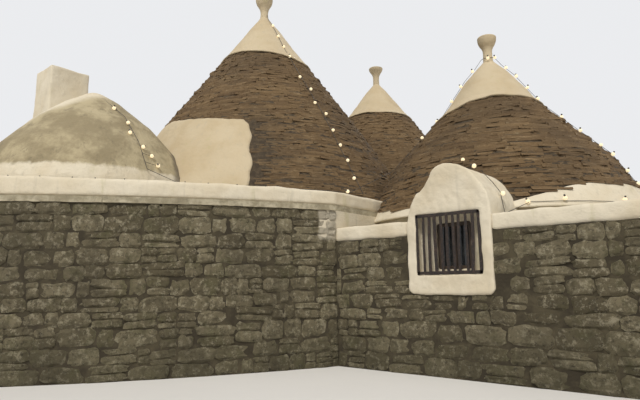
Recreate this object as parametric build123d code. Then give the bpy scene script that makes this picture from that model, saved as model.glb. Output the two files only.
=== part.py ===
from build123d import *
import os
from math import acos, cos, degrees, hypot, radians, sin, tan

os.makedirs("parts", exist_ok=True)

# A trullo house: one tall block that carries two stone cones and a plastered dome, and one low wing
# that carries a third cone. Lengths are in millimetres and headings in degrees. The origin is at
# ground level on the axis of the main cone, X runs along the window wall, Y runs into the building
# and Z is up.

# Plan of the tall block: the corner beside the wing, and the bowed wall that starts there
corner_x = 3973
corner_y = -2174
street_wall_radius = 16500
street_wall_length = 7300
street_wall_heading = 244.7

# Plan of the low wing
wing_right_x = 9390
wing_back_y = 5280

# Heights and thicknesses along the roof edges
block_wall_top = 2590
cornice_height = 95
cornice_overhang = 30
parapet_height = 300
parapet_thickness = 300
terrace_thickness = 300
wing_wall_top = 2050
coping_height = 235
coping_thickness = 350
coping_overhang = 15
wing_terrace_thickness = 90

# Rooms: each is many-sided and ends in a corbelled vault with a small flat top
floor_thickness = 100
room_sides = 16
vault_closing_radius = 160
main_centre = (0, 0)
main_room_radius = 2500
main_vault_top = 6900
rear_centre = (199, 5163)
rear_room_radius = 1800
rear_vault_top = 5900
dome_centre = (-517, -4275)
dome_room_radius = 1200
dome_vault_top = 4350
wing_centre = (5477, 1435)
wing_room_radius = 2000
wing_vault_top = 4500

# Masonry drums under the cones, hidden by the parapet or the coping
drum_sides = 48

# Main cone: ledge and gutter are measured from the flank of the tall block
main_ledge = 143
main_left_ledge = 377
main_gutter = 53
main_split_radius = 2550
main_split_z = 5000
main_cap_radius = 950
main_cap_z = 7200
main_waist_radius = 420
main_waist_z = 8000
main_throat_radius = 235
main_throat_z = 8240
main_neck_z = 8400
main_cup_radius = 225
main_pin_neck = 200
main_pin_flare = 260
main_pin_rim = 120
main_pin_crown = 120
main_crown_radius = 110

# Rear cone
rear_ledge = 74
rear_back_ledge = 37
rear_gutter = 94
rear_split_radius = 2325
rear_split_z = 5000
rear_cap_radius = 1010
rear_cap_z = 6800
rear_waist_radius = 590
rear_waist_z = 7400
rear_throat_radius = 310
rear_throat_z = 7780
rear_neck_z = 8000
rear_cup_radius = 230
rear_pin_neck = 290
rear_pin_flare = 230
rear_pin_rim = 70
rear_pin_crown = 50
rear_crown_radius = 190

# Wing cone
wing_eave_radius = 2820
wing_eave_z = 2500
wing_eave_overhang = 110
wing_split_radius = 2180
wing_split_z = 3600
wing_cap_radius = 1035
wing_cap_z = 4830
wing_waist_radius = 520
wing_waist_z = 5600
wing_throat_radius = 270
wing_throat_z = 5890
wing_neck_z = 6050
wing_cup_radius = 193
wing_pin_neck = 290
wing_pin_flare = 150
wing_pin_rim = 90
wing_pin_crown = 85
wing_crown_radius = 120

# Shared details of the cones and their pinnacles
cap_proud = 18
neck_radius = 125
pin_radius = 105
pin_foot = 60
flare_hollow = 0.3

# Plaster skin on the street side of the main cone
skin_thickness = 22
skin_bottom_z = 3180
skin_top_z = 5080
skin_start_heading = -150
skin_sweep = 100
skin_fall = 8.8
skin_fall_z = 5000

# Plastered dome, from its foot to the flattened top, and its chimney
dome_foot_radius = 2050
dome_foot_z = 3100
dome_band_radius = 1943
dome_band_top = 3350
dome_haunch_radius = 1635
dome_haunch_z = 3900
dome_shoulder_radius = 1140
dome_shoulder_z = 4460
dome_upper_radius = 560
dome_upper_z = 4940
dome_brow_radius = 155
dome_brow_z = 5200
dome_top_z = 5250
chimney_centre = (-1277, -4614)
chimney_width = 730
chimney_depth = 810
chimney_foot_z = 3700
chimney_top_z = 5750
chimney_batter = 18
flue_width = 300
flue_depth = 380

# Passages and the entrance
passage_width = 850
passage_spring_z = 1500
cross_passage_x = -210
wing_passage_y = 700
door_width = 900
door_spring_z = 1550
door_y = 0
door_setback = 300
door_frame_width = 80
door_frame_depth = 110
door_leaf_thickness = 45

# Window in the wing wall, and the white gabled surround that rises from it
window_x = 6030
grille_width = 1020
grille_height = 905
grille_bottom_z = 1455
recess_depth = 200
light_width = 560
light_height = 700
light_bottom_z = 1530
surround_width = 1330
surround_bottom_z = 1165
surround_shoulder_z = 2150
surround_proud = 35
surround_depth = 450
surround_corner = 70
casement_bar = 55
casement_depth = 60
casement_setback = 60
glass_thickness = 6
grille_bar = 34
grille_bar_depth = 12
grille_setback = 12

# Hand-shaped crown of the surround: shares of its half width and of its height above the shoulder
surround_crown_height = 945
surround_crown = (
    (-1, 0), (-0.92, 0.307), (-0.71, 0.571),
    (-0.48, 0.704), (-0.31, 0.9),
    (-0.09, 1), (0.15, 0.99),
    (0.52, 0.873), (0.77, 0.657),
    (0.93, 0.487), (1, 0.159),
)

# Strings of lights: a cable that lies on the roofs, lifted by the rough slabs under it
cable_radius = 5
cable_sides = 6
cable_lift = 35
cable_seat = 0.2
cable_step = 10
cable_below_neck = 20
dome_cable_start_heading = -10
dome_cable_heading = 0
main_foot_cable_start = -64
main_cable_heading = -14
main_foot_cable_rise = 70
wing_left_cable_heading = -137
wing_right_cable_heading = -4
wing_foot_cable_rise = 40
surround_cable_gap = 190

# Places where the wall ring is divided into separate pieces
dome_joint_y = -2824
rear_joint_y = 2976

# Cutting tools: how far they run past what they cut, the reach of a half space, and the smallest solid kept
cut_past = 10
far = 30000
smallest_volume = 1000

# Values that follow from the sizes above
cornice_top = block_wall_top + cornice_height
parapet_top = cornice_top + parapet_height
coping_top = wing_wall_top + coping_height
terrace_top = block_wall_top + terrace_thickness
wing_terrace_top = wing_wall_top + wing_terrace_thickness
main_eave_radius = corner_x - main_ledge
main_drum_radius = corner_x - parapet_thickness - main_gutter
block_left_x = -main_eave_radius - main_left_ledge
rear_eave_radius = corner_x - rear_centre[0] - rear_ledge
rear_drum_radius = corner_x - parapet_thickness - rear_centre[0] - rear_gutter
block_back_y = rear_centre[1] + rear_eave_radius + rear_back_ledge
wing_drum_radius = wing_eave_radius - wing_eave_overhang
recess_front_y = corner_y - surround_proud
recess_back_y = recess_front_y + recess_depth

# Outer slopes as radius and height, from the eave to the foot of the pinnacle
main_slope = (
    (main_eave_radius, parapet_top), (main_split_radius, main_split_z), (main_cap_radius, main_cap_z),
    (main_waist_radius, main_waist_z), (main_throat_radius, main_throat_z), (neck_radius, main_neck_z),
)
rear_slope = (
    (rear_eave_radius, parapet_top), (rear_split_radius, rear_split_z), (rear_cap_radius, rear_cap_z),
    (rear_waist_radius, rear_waist_z), (rear_throat_radius, rear_throat_z), (neck_radius, rear_neck_z),
)
wing_slope = (
    (wing_eave_radius, wing_eave_z), (wing_split_radius, wing_split_z), (wing_cap_radius, wing_cap_z),
    (wing_waist_radius, wing_waist_z), (wing_throat_radius, wing_throat_z), (neck_radius, wing_neck_z),
)
dome_slope = (
    (dome_foot_radius, dome_foot_z), (dome_band_radius, dome_band_top), (dome_haunch_radius, dome_haunch_z),
    (dome_shoulder_radius, dome_shoulder_z), (dome_upper_radius, dome_upper_z),
    (dome_brow_radius, dome_brow_z),
)


def prism(face, bottom, top):
    """Extrude a plan face from one height to another."""
    return Pos(0, 0, bottom) * extrude(face, amount=top - bottom, dir=(0, 0, 1))


def block(x_low, x_high, y_low, y_high, bottom, top):
    """Upright box given by its faces."""
    size = Box(x_high - x_low, y_high - y_low, top - bottom, align=(Align.MIN, Align.MIN, Align.MIN))
    return Pos(x_low, y_low, bottom) * size


def layer(shape, bottom, top):
    """Part of a shape between two heights."""
    return shape & block(-far, far, -far, far, bottom, top)


def turned(points, centre):
    """Turn a profile, given as radii and heights, about an upright axis."""
    profile = Plane.XZ * make_face(Polyline(*points, close=True))
    return Pos(*centre) * revolve(profile, Axis.Z, 360)


def save(name, shape):
    """Write one node to its file, as the clean solids it is made of."""
    solids = [solid for solid in shape.solids() if solid.volume > smallest_volume]
    node = solids[0] if len(solids) == 1 else Compound(children=solids)
    node.label = name
    export_step(node, "parts/" + name + ".step")


def tall_block_outline():
    """Plan of the tall block: a bowed street wall, a square end wall and three straight sides."""
    inward = radians(street_wall_heading - 90)
    centre_x = corner_x + street_wall_radius * cos(inward)
    centre_y = corner_y + street_wall_radius * sin(inward)

    def on_street_wall(distance):
        angle = inward - radians(180) - distance / street_wall_radius
        return (centre_x + street_wall_radius * cos(angle), centre_y + street_wall_radius * sin(angle))

    corner = (corner_x, corner_y)
    street_end = on_street_wall(street_wall_length)
    end_wall_heading = radians(street_wall_heading - 90) - street_wall_length / street_wall_radius
    end_wall_rise = (block_left_x - street_end[0]) * tan(end_wall_heading)
    left_front = (block_left_x, street_end[1] + end_wall_rise)
    street_wall = ThreePointArc(corner, on_street_wall(street_wall_length / 2), street_end)
    left_back = (block_left_x, block_back_y)
    right_back = (corner_x, block_back_y)
    sides = Polyline(street_end, left_front, left_back, right_back, corner)
    return make_face(street_wall + sides)


def wing_outline():
    """Plan of the low wing, which stands against the right side of the tall block."""
    width = wing_right_x - corner_x
    depth = wing_back_y - corner_y
    return Pos(corner_x, corner_y) * Rectangle(width, depth, align=(Align.MIN, Align.MIN))


def inset(face, distance):
    """Plan face with its edge moved inwards, or outwards for a negative distance."""
    return offset(face, -distance, kind=Kind.INTERSECTION)


def vault_space(centre, radius, spring_z, top_z):
    """Room space: upright walls, then a vault that closes in evenly above the springing height."""
    room = prism(Pos(*centre) * RegularPolygon(radius, room_sides), 0, spring_z)
    spring = Pos(*centre, spring_z) * RegularPolygon(radius, room_sides)
    closing = Pos(*centre, top_z) * RegularPolygon(vault_closing_radius, room_sides)
    return room + loft([spring.face(), closing.face()], ruled=True)


def arch_face(width, spring_z, foot_z, margin=0):
    """Upright arched outline with an even margin taken off its sides and crown."""
    half = width / 2 - margin
    foot = Polyline((-half, spring_z), (-half, foot_z), (half, foot_z), (half, spring_z))
    crown = ThreePointArc((half, spring_z), (0, spring_z + half), (-half, spring_z))
    return make_face(foot + crown)


def passage_along_y(x, y_low, y_high):
    """Arched passage through a wall, open along Y."""
    opening = Pos(x, y_high, 0) * (Plane.XZ * arch_face(passage_width, passage_spring_z, 0))
    return extrude(opening, amount=y_high - y_low, dir=(0, -1, 0))


def passage_along_x(width, spring_z, y, x_low, x_high):
    """Arched passage through a wall, open along X."""
    opening = Pos(x_low, y, 0) * (Plane.YZ * arch_face(width, spring_z, 0))
    return extrude(opening, amount=x_high - x_low, dir=(1, 0, 0))


def cone_mass(centre, drum_radius, foot_z, slope):
    """Whole outer form of a cone: drum, projecting eave, two slopes, and a plaster cap with its lip."""
    eave, split, cap = slope[:3]
    drum = prism(Pos(*centre) * RegularPolygon(drum_radius, drum_sides), foot_z, eave[1])
    lip = (cap[0] + cap_proud, cap[1])
    upper = [(0, eave[1]), eave, split, cap, lip, *slope[3:], (0, slope[-1][1])]
    return drum + turned(upper, centre)


def pinnacle(centre, foot_z, cup_radius, neck, flare, rim, crown, crown_radius):
    """Turned finial: a plain neck, a cup that flares out of it, its rim and a low crown."""
    flare_foot = foot_z + neck
    rim_z = flare_foot + flare
    crown_z = rim_z + rim
    top_z = crown_z + crown
    hollow_radius = pin_radius + flare_hollow * (cup_radius - pin_radius)
    return turned([
        (0, foot_z), (neck_radius, foot_z), (pin_radius, foot_z + pin_foot), (pin_radius, flare_foot),
        (hollow_radius, flare_foot + flare / 2), (cup_radius, rim_z), (cup_radius, crown_z),
        (crown_radius, top_z), (0, top_z),
    ], centre)


def dome_mass():
    """Outer form of the plastered dome, which stands on the walls as a low drum."""
    foot = [(0, block_wall_top), (dome_foot_radius, block_wall_top)]
    return turned([*foot, *dome_slope, (0, dome_top_z)], dome_centre)


def chimney_mass():
    """Square chimney that narrows slightly towards the top."""
    batter = 2 * chimney_batter
    lower = Pos(*chimney_centre, chimney_foot_z) * Rectangle(chimney_width + batter, chimney_depth + batter)
    upper = Pos(*chimney_centre, chimney_top_z) * Rectangle(chimney_width - batter, chimney_depth - batter)
    return loft([lower.face(), upper.face()], ruled=True)


def flue_space():
    """Straight flue from the dome room up through the chimney."""
    plan = Pos(*chimney_centre) * Rectangle(flue_width, flue_depth)
    return prism(plan, block_wall_top, chimney_top_z + cut_past)


def crown_point(width_share, height_share):
    """Point of the crown of the window surround, as X and Z from the window's centre line."""
    return (width_share * surround_width / 2, surround_shoulder_z + height_share * surround_crown_height)


def surround_outline():
    """Front of the window surround: straight flanks with cut lower corners, and the shaped crown."""
    half = surround_width / 2
    knots = [crown_point(*point) for point in surround_crown]
    crown = ThreePointArc(knots[0], knots[1], knots[2])
    for index in range(2, len(knots) - 2, 2):
        crown += ThreePointArc(*knots[index:index + 3])
    flanks = Polyline(
        knots[-1],
        (half, surround_bottom_z + surround_corner),
        (half - surround_corner, surround_bottom_z),
        (-half + surround_corner, surround_bottom_z),
        (-half, surround_bottom_z + surround_corner),
        knots[0],
    )
    return Pos(window_x, 0, 0) * (Plane.XZ * make_face(crown + flanks))


def through_window(width, bottom, height, y_low, y_high):
    """Upright box centred on the window."""
    return block(window_x - width / 2, window_x + width / 2, y_low, y_high, bottom, bottom + height)


# Spaces that are open inside the building
main_space = vault_space(main_centre, main_room_radius, block_wall_top, main_vault_top)
rear_space = vault_space(rear_centre, rear_room_radius, block_wall_top, rear_vault_top)
dome_space = vault_space(dome_centre, dome_room_radius, block_wall_top, dome_vault_top)
wing_space = vault_space(wing_centre, wing_room_radius, wing_wall_top, wing_vault_top)
front_passage = passage_along_y(cross_passage_x, dome_centre[1], main_centre[1])
back_passage = passage_along_y(cross_passage_x, main_centre[1], rear_centre[1])
wing_passage = passage_along_x(
    passage_width, passage_spring_z, wing_passage_y, main_centre[0], wing_centre[0]
)
entrance = passage_along_x(
    door_width, door_spring_z, door_y, block_left_x - cut_past, main_centre[0]
)
window_light = through_window(
    light_width, light_bottom_z, light_height, recess_back_y - cut_past, wing_centre[1]
)
window_recess = through_window(
    grille_width, grille_bottom_z, grille_height, recess_front_y - cut_past, recess_back_y
)
rooms = main_space + rear_space + dome_space + wing_space
openings = [front_passage, back_passage, wing_passage, entrance, window_light]

# Outer masses, each trimmed by the one that it leans on
block_plan = tall_block_outline()
wing_plan = wing_outline()
block_edge_plan = block_plan - inset(block_plan, parapet_thickness)
block_core_plan = inset(block_plan, parapet_thickness)
main_mass = cone_mass(main_centre, main_drum_radius, block_wall_top, main_slope)
rear_mass = cone_mass(rear_centre, rear_drum_radius, block_wall_top, rear_slope) - main_mass
dome_whole = dome_mass()
dome_form = dome_whole - main_mass
wing_mass = cone_mass(wing_centre, wing_drum_radius, wing_wall_top, wing_slope) - main_mass
wing_mass = wing_mass - prism(block_plan, 0, terrace_top) - prism(block_edge_plan, 0, parapet_top)

# Surround block, which reaches back to the cone above the wall and a short way into the wall below
surround_face = Pos(0, recess_front_y, 0) * surround_outline()
surround_reach = extrude(surround_face, amount=wing_centre[1] - recess_front_y, dir=(0, 1, 0))
surround_upper = layer(surround_reach, wing_wall_top, far)
surround_foot = extrude(surround_face, amount=surround_depth + surround_proud, dir=(0, 1, 0))
surround_lower = layer(surround_foot, 0, wing_wall_top)
surround_mass = surround_upper - wing_mass - wing_space + surround_lower
surround = surround_mass - window_recess - window_light


def hollow(shape):
    """Take the rooms, passages and window out of a piece of masonry."""
    result = shape - rooms
    for opening in openings:
        result = result - opening
    return result


def write_walls():
    """Wall masonry, divided where doorways, passages and the window break the ring."""
    tall = hollow(prism(block_plan, 0, block_wall_top))
    low = hollow(prism(wing_plan, 0, wing_wall_top)) - surround_mass
    x_joint = cross_passage_x
    tall_pieces = {
        "dome_wall_left": (-far, x_joint, -far, dome_joint_y),
        "dome_wall_right": (x_joint, far, -far, dome_joint_y),
        "main_wall_front_left": (-far, x_joint, dome_joint_y, door_y),
        "main_wall_front_right": (x_joint, far, dome_joint_y, wing_passage_y),
        "main_wall_back_left": (-far, x_joint, door_y, rear_joint_y),
        "main_wall_back_right": (x_joint, far, wing_passage_y, rear_joint_y),
        "rear_wall_left": (-far, x_joint, rear_joint_y, far),
        "rear_wall_right": (x_joint, far, rear_joint_y, far),
    }
    low_pieces = {
        "wing_wall_front_left": (-far, window_x, -far, wing_centre[1]),
        "wing_wall_front_right": (window_x, far, -far, wing_centre[1]),
        "wing_wall_back_left": (-far, window_x, wing_centre[1], far),
        "wing_wall_back_right": (window_x, far, wing_centre[1], far),
    }
    for name, (x_low, x_high, y_low, y_high) in tall_pieces.items():
        save(name, tall & block(x_low, x_high, y_low, y_high, 0, block_wall_top))
    for name, (x_low, x_high, y_low, y_high) in low_pieces.items():
        save(name, low & block(x_low, x_high, y_low, y_high, 0, wing_wall_top))


def write_floor():
    """Stone floor of the rooms and passages, laid between the walls."""
    plan = rooms + front_passage + back_passage + wing_passage + entrance
    inside = block(block_left_x, wing_right_x, -far, far, 0, floor_thickness)
    save("floor", plan & inside)


def write_roof_edges():
    """Cornice, parapet and terrace of the tall block, coping and terrace of the wing."""
    masses = main_mass + rear_mass + dome_form
    overhang_plan = inset(block_plan, -cornice_overhang) - block_core_plan
    wing_side = block(corner_x, far, corner_y - far, wing_back_y, 0, far)
    cornice = prism(overhang_plan, block_wall_top, cornice_top) - masses - wing_side
    save("block_cornice", hollow(cornice))
    parapet = prism(block_edge_plan, cornice_top, parapet_top) - masses
    save("block_parapet", hollow(parapet))
    terrace = prism(block_core_plan, block_wall_top, terrace_top) - masses
    save("block_terrace", hollow(terrace))
    coping_plan = inset(wing_plan, -coping_overhang) - inset(wing_plan, coping_thickness)
    block_side = block(-far, corner_x, -far, far, 0, far)
    coping = prism(coping_plan, wing_wall_top, coping_top) - block_side - surround_mass
    coping = coping - prism(block_plan, 0, parapet_top)
    join_front = corner_y + coping_thickness
    join_back = wing_back_y - coping_thickness
    join = block(corner_x, corner_x + coping_thickness, join_front, join_back, 0, far)
    save("wing_coping", coping - join)
    wing_deck = prism(inset(wing_plan, coping_thickness), wing_wall_top, wing_terrace_top)
    wing_deck = wing_deck + layer(join, wing_wall_top, wing_terrace_top)
    save("wing_terrace", hollow(wing_deck - wing_mass - surround_mass))


def write_cone(name, mass, foot_z, slope):
    """Cut one hollow cone into its drum, lower ring, upper ring and cap."""
    shell = hollow(mass)
    eave_z, split_z, cap_z = (point[1] for point in slope[:3])
    save(name + "_cone_drum", layer(shell, foot_z, eave_z))
    save(name + "_cone_lower", layer(shell, eave_z, split_z))
    save(name + "_cone_upper", layer(shell, split_z, cap_z))
    save(name + "_cone_cap", layer(shell, cap_z, slope[-1][1]))


def write_cones():
    """The three stone cones with their pinnacles."""
    write_cone("main", main_mass, block_wall_top, main_slope)
    write_cone("rear", rear_mass, block_wall_top, rear_slope)
    write_cone("wing", wing_mass, wing_wall_top, wing_slope)
    save("main_pinnacle", pinnacle(
        main_centre, main_neck_z, main_cup_radius, main_pin_neck, main_pin_flare, main_pin_rim,
        main_pin_crown, main_crown_radius,
    ))
    save("rear_pinnacle", pinnacle(
        rear_centre, rear_neck_z, rear_cup_radius, rear_pin_neck, rear_pin_flare, rear_pin_rim,
        rear_pin_crown, rear_crown_radius,
    ))
    save("wing_pinnacle", pinnacle(
        wing_centre, wing_neck_z, wing_cup_radius, wing_pin_neck, wing_pin_flare, wing_pin_rim,
        wing_pin_crown, wing_crown_radius,
    ))


def radius_at(slope, height):
    """Radius of an outer slope at a height."""
    for (low, low_z), (high, high_z) in zip(slope, slope[1:]):
        if height <= high_z:
            return low + (high - low) * (height - low_z) / (high_z - low_z)
    return slope[-1][0]


def write_plaster_skin():
    """Thin plaster coat on the main cone, towards the street. Its top falls away to the right."""
    top_radius = radius_at(main_slope, skin_top_z)
    split_radius = radius_at(main_slope, main_split_z)
    bottom_radius = radius_at(main_slope, skin_bottom_z)
    profile = Polyline(
        (bottom_radius + skin_thickness, skin_bottom_z),
        (split_radius + skin_thickness, main_split_z),
        (top_radius + skin_thickness, skin_top_z),
        (top_radius - skin_thickness, skin_top_z),
        (bottom_radius - skin_thickness, skin_bottom_z),
        close=True,
    )
    face = Rot(0, 0, skin_start_heading) * (Plane.XZ * make_face(profile))
    coat = revolve(face, Axis.Z, skin_sweep)
    fall = Pos(0, 0, skin_fall_z) * Rot(0, skin_fall, 0) * block(-far, far, -far, far, 0, far)
    save("main_cone_plaster", coat - main_mass - dome_whole - fall)


def write_dome():
    """Plastered dome on its white band, with the chimney that stands on its flank."""
    shell = hollow(dome_form) - flue_space()
    save("dome_band", layer(shell, block_wall_top, dome_band_top))
    save("dome_shell", layer(shell, dome_band_top, dome_top_z))
    save("chimney_stack", chimney_mass() - dome_whole - main_mass - flue_space())


def ring_of_bars(width, bottom, height, bar, y_low, y_high):
    """Upright rectangular frame centred on the window."""
    outer = through_window(width, bottom, height, y_low, y_high)
    inner = through_window(
        width - 2 * bar, bottom + bar, height - 2 * bar, y_low - cut_past, y_high + cut_past
    )
    return outer - inner


def write_window():
    """Window surround, two-light casement with its glass, and the frame of the iron grille."""
    save("window_surround", surround)
    front = recess_back_y + casement_setback
    back = front + casement_depth
    frame = ring_of_bars(light_width, light_bottom_z, light_height, casement_bar, front, back)
    pane_bottom = light_bottom_z + casement_bar
    pane_height = light_height - 2 * casement_bar
    pane_width = light_width - 2 * casement_bar
    mullion = through_window(casement_bar, pane_bottom, pane_height, front, back)
    save("window_casement", frame + mullion)
    glass_front = (front + back - glass_thickness) / 2
    glass_back = glass_front + glass_thickness
    save("window_glass", through_window(pane_width, pane_bottom, pane_height, glass_front, glass_back) - mullion)
    grille_front = recess_front_y + grille_setback
    save("window_grille_frame", ring_of_bars(
        grille_width, grille_bottom_z, grille_height, grille_bar, grille_front, grille_front + grille_bar_depth
    ))


def write_door():
    """Plain arched plank door in its frame, set back in the entrance."""
    outer = arch_face(door_width, door_spring_z, floor_thickness)
    inner = arch_face(door_width, door_spring_z, floor_thickness, door_frame_width)
    place = Pos(block_left_x + door_setback, door_y, 0)
    frame_face = place * (Plane.YZ * (outer - inner))
    leaf_face = place * (Plane.YZ * inner)
    save("door_frame", extrude(frame_face, amount=door_frame_depth, dir=(1, 0, 0)))
    save("door_leaf", extrude(leaf_face, amount=door_leaf_thickness, dir=(1, 0, 0)))


def on_roof(centre, slope, heading, height, lift=cable_lift):
    """Point lifted square off an outer slope, at a heading and from a height on it."""
    taper = radius_at(slope, height) - radius_at(slope, height + 1)
    outward = lift / hypot(1, taper)
    radius = radius_at(slope, height) + outward
    turn = radians(heading)
    return (centre[0] + radius * cos(turn), centre[1] + radius * sin(turn), height + outward * taper)


def round_roof(centre, slope, start, end, height):
    """Points that follow a slope round at one height, in even steps of heading."""
    steps = round(abs(end - start) / cable_step)
    headings = [start + (end - start) * index / steps for index in range(steps + 1)]
    return [on_roof(centre, slope, heading, height) for heading in headings]


def over_roof(centre, slope, heading):
    """Points that follow a slope from its eave up to its neck at one heading."""
    return [on_roof(centre, slope, heading, height) for radius, height in slope[1:-1]]


def cable(points):
    """Cable of plain section that runs straight from point to point."""
    route = Polyline(*points)
    section = Plane(origin=route @ 0, z_dir=route % 0) * RegularPolygon(cable_radius, cable_sides)
    return sweep(section, route, transition=Transition.RIGHT)


def write_block_cable():
    """String of lights that comes down the dome, goes round the main cone's foot and climbs it."""
    seat = cable_radius + cable_seat
    start = on_roof(dome_centre, dome_slope, dome_cable_start_heading, dome_upper_z, seat)
    down_dome = [
        on_roof(dome_centre, dome_slope, dome_cable_heading, height) for radius, height in dome_slope[3:0:-1]
    ]
    foot_z = parapet_top + main_foot_cable_rise
    at_neck = on_roof(main_centre, main_slope, main_cable_heading, main_neck_z - cable_below_neck)
    save("block_light_cable", cable([
        start,
        *down_dome,
        *round_roof(main_centre, main_slope, main_foot_cable_start, main_cable_heading, foot_z),
        *over_roof(main_centre, main_slope, main_cable_heading),
        at_neck,
        (main_centre[0] + pin_radius + seat, main_centre[1], main_neck_z + main_pin_neck / 2),
    ]))


def write_wing_cable():
    """String of lights over the wing cone and back along its foot to the window surround."""
    seat = cable_radius + cable_seat
    flank_x = window_x + surround_width / 2
    leave_share = (flank_x + surround_cable_gap - wing_centre[0]) / wing_eave_radius
    leave_heading = -degrees(acos(leave_share))
    neck_z = wing_neck_z + pin_foot
    foot_z = wing_eave_z + wing_foot_cable_rise
    behind_y = corner_y + surround_depth
    shoulder = [crown_point(*point) for point in surround_crown[-1:-5:-1]]
    save("wing_light_cable", cable([
        (corner_x - parapet_thickness / 2, corner_y + 2 * parapet_thickness, parapet_top + seat),
        *over_roof(wing_centre, wing_slope, wing_left_cable_heading),
        *round_roof(wing_centre, wing_slope, wing_left_cable_heading, wing_right_cable_heading, neck_z),
        *over_roof(wing_centre, wing_slope, wing_right_cable_heading)[::-1],
        *round_roof(wing_centre, wing_slope, wing_right_cable_heading, leave_heading, foot_z),
        (flank_x + cable_lift, behind_y, coping_top + cable_lift),
        *[(window_x + x + cable_lift, behind_y, z + cable_lift) for x, z in shoulder],
    ]))


write_walls()
write_floor()
write_roof_edges()
write_cones()
write_plaster_skin()
write_dome()
write_window()
write_door()
write_block_cable()
write_wing_cable()
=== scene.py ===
"""A trullo house: rubble walls under limewashed copings, three cones of thin stone slabs with white
caps and pinnacles, a plastered dome with its chimney, and a gabled window surround."""

import math
import random
from typing import NamedTuple

import bmesh
import bpy
import numpy as np
from mathutils import Matrix, Vector, noise


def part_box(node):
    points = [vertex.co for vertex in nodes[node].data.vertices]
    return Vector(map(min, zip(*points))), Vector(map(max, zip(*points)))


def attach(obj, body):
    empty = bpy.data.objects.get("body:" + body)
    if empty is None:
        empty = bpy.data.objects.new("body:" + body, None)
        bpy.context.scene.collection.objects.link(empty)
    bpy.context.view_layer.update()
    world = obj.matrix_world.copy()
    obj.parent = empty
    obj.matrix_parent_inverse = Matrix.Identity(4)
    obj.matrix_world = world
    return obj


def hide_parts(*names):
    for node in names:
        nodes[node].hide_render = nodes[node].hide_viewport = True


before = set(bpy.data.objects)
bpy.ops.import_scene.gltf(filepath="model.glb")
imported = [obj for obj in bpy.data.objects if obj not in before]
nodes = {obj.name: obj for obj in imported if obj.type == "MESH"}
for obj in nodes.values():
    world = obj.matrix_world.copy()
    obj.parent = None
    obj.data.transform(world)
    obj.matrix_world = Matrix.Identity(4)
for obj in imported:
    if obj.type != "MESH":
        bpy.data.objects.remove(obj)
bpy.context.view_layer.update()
boxes = {name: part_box(name) for name in nodes}

# Places read from the frame
corner = boxes["wing_wall_front_left"][0].xy
wing_top = boxes["wing_wall_front_left"][1].z
block_top = boxes["dome_wall_right"][1].z
block_left = boxes["rear_wall_left"][0].x
block_back = boxes["rear_wall_left"][1].y
parapet_top = boxes["block_parapet"][1].z
wing_right = boxes["wing_wall_back_right"][1].x
wing_back = boxes["wing_wall_back_right"][1].y
surround_low, surround_high = boxes["window_surround"]
surround_x = (surround_low.x + surround_high.x) / 2
chimney_centre = (sum(boxes["chimney_stack"], Vector()) / 2).xy

# Camera, as solved from the photograph
PHOTO_WIDTH = 640
FOCAL_PIXELS = 520
EYE = (9.393, -9.244, 1.35)
HEADING = 39.2
PITCH = 9.12
ROLL = -0.8

# Plan of the street wall, which bows gently outwards
STREET_RADIUS = 16.5
STREET_LENGTH = 7.3
STREET_HEADING = 244.7

# Wall stones: sizes, and how much heights, widths and stand-off vary
COURSE_HEIGHT = 0.24
COURSE_SPREAD = (0.72, 1.3)
COURSE_WAVE = 0.045
STONE_WIDTH = 0.36
WIDTH_SPREAD = (0.45, 1.75)
STONE_JOINT = -0.006
STONE_DEPTH = 0.12
STONE_PROUD = 0.030
PROUD_SPREAD = (0.7, 1.4)
STONE_BACK = -0.2
SMALLEST_STONE = 0.08

# Shares of the cells of a course that hold one stone, and two over each other
WHOLE_SHARE = 0.66
HALVED_SHARE = 0.31

# How far stones stand off beside the surround, and how near a wall's face a point on it has to be
SURROUND_LAP = 0.020
ON_WALL = 0.05

# Roughness given to laid stones and slabs: how far points shift, and the scale of the noise
WALL_ROUGHNESS = (0.042, 8.5)
CORNICE_ROUGHNESS = (0.008, 8.0)
SLAB_ROUGHNESS = (0.012, 9.0)
NO_ROUGHNESS = (0.0, 1.0)

# Cornice slabs
CORNICE_WIDTHS = (0.3, 0.85)
CORNICE_DEPTH = 0.22
CORNICE_PROUD = 0.034

# Roof slabs: sizes, how far they are set back beside the plaster coat, and the share that is lost
SLAB_HEIGHT = 0.047
SLAB_HEIGHT_SPREAD = (0.78, 1.25)
SLAB_WIDTH = 0.48
SLAB_WIDTH_SPREAD = (0.45, 1.6)
SLAB_DEPTH = 0.17
SLAB_PROUD = 0.006
SLAB_SET_BACK = 0.014
LOST_SLABS = 0.006

# A slab of the palest tone on the main cone: its heading and height, and how near a slab has to be
PALE_SLAB = (-63, 5.84)
PALE_SLAB_NEAR = (3, 0.06)

# Window bars
BAR_COUNT = 9
BAR_WIDTH = 0.045
BAR_STEPS = 9
GRILLE_INSET = 0.034

# Entrance door boards
BOARD_COUNT = 6
BOARD_GAP = 0.006

# Strings of lights
BULB_SIZE = 0.070
BULB_REACH = 0.048
LEAD_RADIUS = 0.004
LEAD_SIDES = 6
LEAD_LIFT = 0.036
GLOBE_PROFILE = (
    (0.12, 0.46), (0.30, 0.40), (0.45, 0.22), (0.5, 0.0), (0.45, -0.22), (0.30, -0.40), (0.12, -0.48),
)
HOLDER_PROFILE = ((0.15, 0.86), (0.21, 0.82), (0.22, 0.44), (0.16, 0.36))
CLIP_SIZE = 0.05
CLIP_PITCH = 0.42
CLIP_START = 1.3

# Top of the parapet: how far it drops at the corner, how it climbs over its run, and the band that moves
PARAPET_DROP = -0.045
PARAPET_CLIMB = 0.125
PARAPET_RUN = 7.0
PARAPET_TOP_BAND = 0.135

# Studio floor
FLOOR_REACH = 120

# Random seeds
WALL_SEED = 11
ROOF_SEED = 23
PLASTER_SEED = 5
BAR_SEED = 4

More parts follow.
